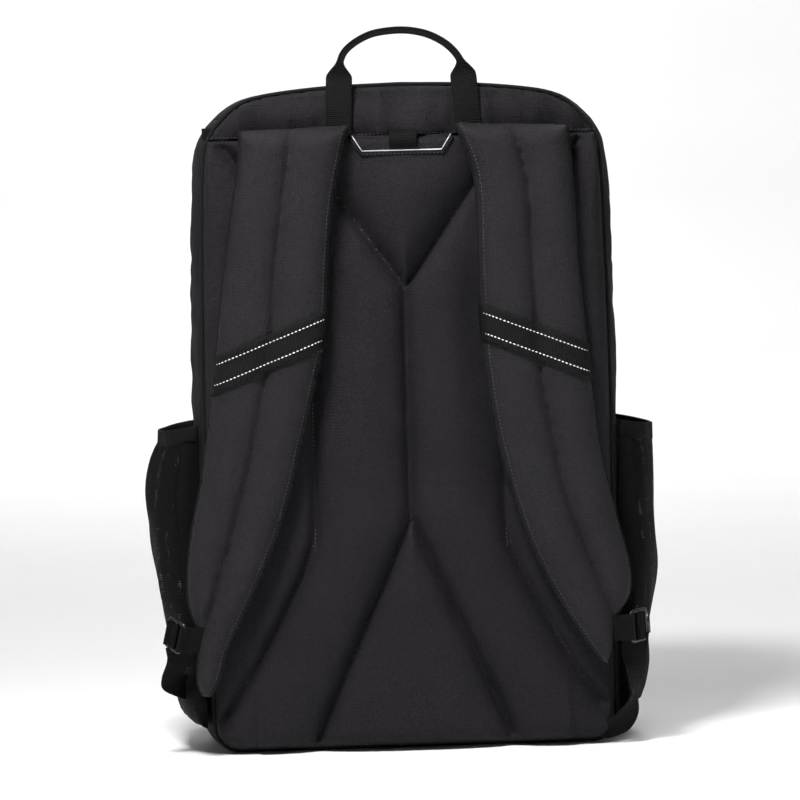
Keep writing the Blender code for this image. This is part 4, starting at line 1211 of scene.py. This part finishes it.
def front():
    """The clamshell's front: its cloth, the padded racket flap with its zip, and the accessory pocket."""
    y = FLAP_LOW.y
    panel = height_field("front_cloth", shell_outline(0.0026, FRONT_SEAM_Y), 0.003, front_height, y,
                         MATERIALS["shell_cloth"], 1, flap_ring(0.0))
    finish_piece(panel, "lid", "shell_cloth", "front_frame")
    flap = height_field("racket_flap_padding", flap_ring(0.0016), 0.0028, flap_height, y,
                        MATERIALS["back_cloth"], 1)
    finish_piece(flap, "flap", "back_cloth", "racket_flap")
    places = []
    for line in FLAP_QUILTING:
        for place, along in spaced([Vector(p) for p in line], FLAP_STITCH[0]):
            raised = y + rise_at(flap_height, place)
            places.append((Vector((place.x, raised, place.y)), Vector((along.x, 0, along.y)), -BACKWARDS))
    finish_piece(stitches("flap_stitches", places, FLAP_STITCH, DARK_THREAD_WITH_PAINTED_HIGHLIGHT), "flap", "back_cloth")
    ring = flap_ring(0.0008)
    edge = [Vector((x, FLAP_HIGH.y + 0.0004, z)) for x, z in ring[1:] + ring[:1]]
    coil("racket_zip_coil", edge, lambda place: Vector((0.0, 1.0, 0.0)), "lid")
    outline = rounded(POCKET_LOW.x, POCKET_LOW.z, POCKET_HIGH.x, POCKET_HIGH.z, 0.016)
    pouch = height_field("accessory_pouch", outline, 0.0028, pouch_height, POCKET_LOW.y,
                         MATERIALS["shell_cloth"], 1)
    finish_piece(pouch, "lid", "shell_cloth", "accessory_pocket")
    middle = (POCKET_LOW.y + POCKET_HIGH.y) / 2
    rows = [[Vector((-0.099 + 0.0033 * i, middle + 0.0056 * (k / 2 - 1), POCKET_HIGH.z - 0.0004))
             for k in range(5)] for i in range(61)]
    tape = thicken(skin("accessory_zip_tape", rows, MATERIALS["zip_tape"]), 0.0008, 1.0)
    finish_piece(tape, "lid", "zip_tape")
    path = [Vector((-0.098, middle, POCKET_HIGH.z)), Vector((0.098, middle, POCKET_HIGH.z))]
    coil("accessory_zip_coil", path, lambda place: Vector((0.0, 0.0, 1.0)), "lid")


def linings():
    """The laptop sleeve inside the back and the divider behind the racket compartment."""
    low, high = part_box("laptop_sleeve")
    rows = []
    for i in range(41):
        z = low.z + (high.z - low.z) * i / 40
        row = []
        for k in range(61):
            x = low.x + (high.x - low.x) * k / 60
            side = min(k, 60 - k) / 60 * (high.x - low.x)
            full = min(1.0, side / 0.012) * min(1.0, (z - low.z) / 0.012)
            full = math.sqrt(max(0.0, 1 - (1 - full) ** 2))
            slack = noise.noise(Vector((x / 0.06, z / 0.08, 5.1))) * 0.002
            row.append(Vector((x, low.y + (high.y - low.y - 0.0015 + slack) * full, z)))
        rows.append(row)
    sleeve = thicken(skin("sleeve_cloth", rows, MATERIALS["lining"]), 0.0022)
    finish_piece(sleeve, "bag", "lining", "laptop_sleeve")
    divider_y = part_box("divider_panel")[0].y

    def slack(x, z, edge):
        return 0.0012 + (ripple(x, z, 0.05) * 0.0016 + 0.0008) * np.clip(edge / 0.02, 0, 1)

    divider = height_field("divider_cloth", shell_outline(0.0064, divider_y), 0.004, slack, divider_y,
                           MATERIALS["lining"], -1)
    finish_piece(divider, "lid", "lining", "divider_panel")


def side_tab():
    """The folded end of webbing that sticks out of the left seam."""
    low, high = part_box("side_tab")
    middle = (low.y + high.y) / 2
    height = (low.z + high.z) / 2
    path = [(high.x + 0.0092, middle - 0.001, height), (low.x + 0.0048, middle - 0.0011, height),
            (low.x + 0.0036, middle, height), (low.x + 0.0048, middle + 0.0011, height),
            (high.x + 0.0092, middle + 0.001, height)]
    up = Vector((0.0, 0.0, 1.0))
    loop = ribbon("side_tab_webbing", path, [up, up], high.z - low.z, 0.0009, MATERIALS["webbing"], 0.0006)
    finish_piece(loop, "bag", "webbing", "side_tab")


def paint_frame():
    """Give every CAD node that stays in view its material."""
    for entry in frame["record"]["subparts"]:
        node = frame["nodes"][entry["node"]]
        node.data.materials.clear()
        node.data.materials.append(MATERIALS[entry["material_slot"]])


# Camera, light and floor -----------------------------------------------------------------------------------

VIEW_CENTRE = Vector((-0.0063, -0.115, 0.268))
VIEW_WIDTH = 0.608
CAMERA_DISTANCE = 2.6
CAMERA_YAW = math.radians(2.0)
CAMERA_RISE = math.radians(3.0)
CAMERA_ROLL = math.radians(-1.5)
ROOM_RADIUS = 6.6
ROOM_FLATTENING = 1.6
FLOOR_Z = -0.0006


def camera():
    data = bpy.data.cameras.new("camera")
    data.sensor_width = 36.0
    data.lens = 36.0 * CAMERA_DISTANCE / VIEW_WIDTH
    obj = bpy.data.objects.new("camera", data)
    bpy.context.scene.collection.objects.link(obj)
    level = math.cos(CAMERA_RISE)
    away = Vector((-math.sin(CAMERA_YAW) * level, -math.cos(CAMERA_YAW) * level, math.sin(CAMERA_RISE)))
    obj.location = VIEW_CENTRE + away * CAMERA_DISTANCE
    turn = (-away).to_track_quat("-Z", "Y").to_matrix().to_4x4()
    obj.matrix_world = Matrix.Translation(obj.location) @ turn @ Matrix.Rotation(CAMERA_ROLL, 4, "Z")
    bpy.context.scene.camera = obj


def area_light(name, place, target, size, energy, spread=180):
    data = bpy.data.lights.new(name, "AREA")
    data.shape = "RECTANGLE"
    data.size, data.size_y = size
    data.energy = energy
    data.spread = math.radians(spread)
    obj = bpy.data.objects.new(name, data)
    bpy.context.scene.collection.objects.link(obj)
    obj.location = place
    obj.rotation_euler = (Vector(target) - Vector(place)).to_track_quat("-Z", "Y").to_euler()


def stage():
    """A white floor that curves up into a wall all round, a soft world and studio lights."""
    rings = []
    for share, z in ((0.03, FLOOR_Z), (0.1, FLOOR_Z), (0.3, FLOOR_Z), (0.8, FLOOR_Z), (0.9, 0.1),
                     (0.97, 0.45), (0.99, 1.0), (1.0, 3.6)):
        ring = []
        for i in range(64):
            angle = math.tau * i / 64
            radius = share * (ROOM_RADIUS - ROOM_FLATTENING * max(0.0, math.sin(angle)) ** 8)
            ring.append(Vector((radius * math.cos(angle), radius * math.sin(angle), z)))
        rings.append(ring)
    graph = Graph("floor_white")
    patches = graph.noise(3.0, 2.0)
    graph.colour((0.92, 0.92, 0.92), (0.95, 0.95, 0.95), patches)
    graph.roughness(patches, 0.6, 0.8)
    floor = skin("floor", rings, graph.material, closed_columns=True, first_cap=True)
    world = bpy.data.worlds.new("studio")
    world.use_nodes = True
    world.node_tree.nodes["Background"].inputs["Color"].default_value = (1.0, 1.0, 1.0, 1.0)
    world.node_tree.nodes["Background"].inputs["Strength"].default_value = 0.03
    bpy.context.scene.world = world
    bpy.context.scene.view_settings.view_transform = "Standard"
    area_light("key", (-0.27, -0.64, 1.22), (0.0, -0.1, 0.42), (0.26, 0.2), 18.5)
    area_light("floor_top", (0.0, -0.75, 1.7), (0.0, -0.72, 0.0), (2.0, 0.7), 9, 44)
    area_light("fill", (1.8, -1.6, 0.9), (0.0, 0.0, 0.25), (1.0, 1.4), 0.3)
    area_light("backdrop", (0.0, 3.0, 3.3), (0.0, 4.8, 0.4), (4.8, 1.2), 134)
    area_light("front_top", (0.5, 1.6, 2.4), (0.0, 0.0, 0.25), (0.8, 0.6), 16)


def main():
    camera()
    stage()
    paint_frame()
    back_padding()
    yoke()
    reflective_edge()
    hang_loop()
    piping("rear_piping_cord", "rear_piping", BACK_SEAM_Y - 0.0012, 0.0006)
    piping("front_piping_cord", "front_piping", FRONT_SEAM_Y + 0.001, 0.0006)
    carry_handle()
    for side in ("left", "right"):
        shoulder_strap(side)
        reflective_band(side)
        ladder_lock(side)
    strap_end("right", Vector((0.15, -0.124, 0.0905)))
    strap_end("left", Vector((-0.162, -0.124, 0.0905)))
    adjusters()
    gussets()
    net_pockets()
    main_zip()
    front()
    linings()
    side_tab()


main()
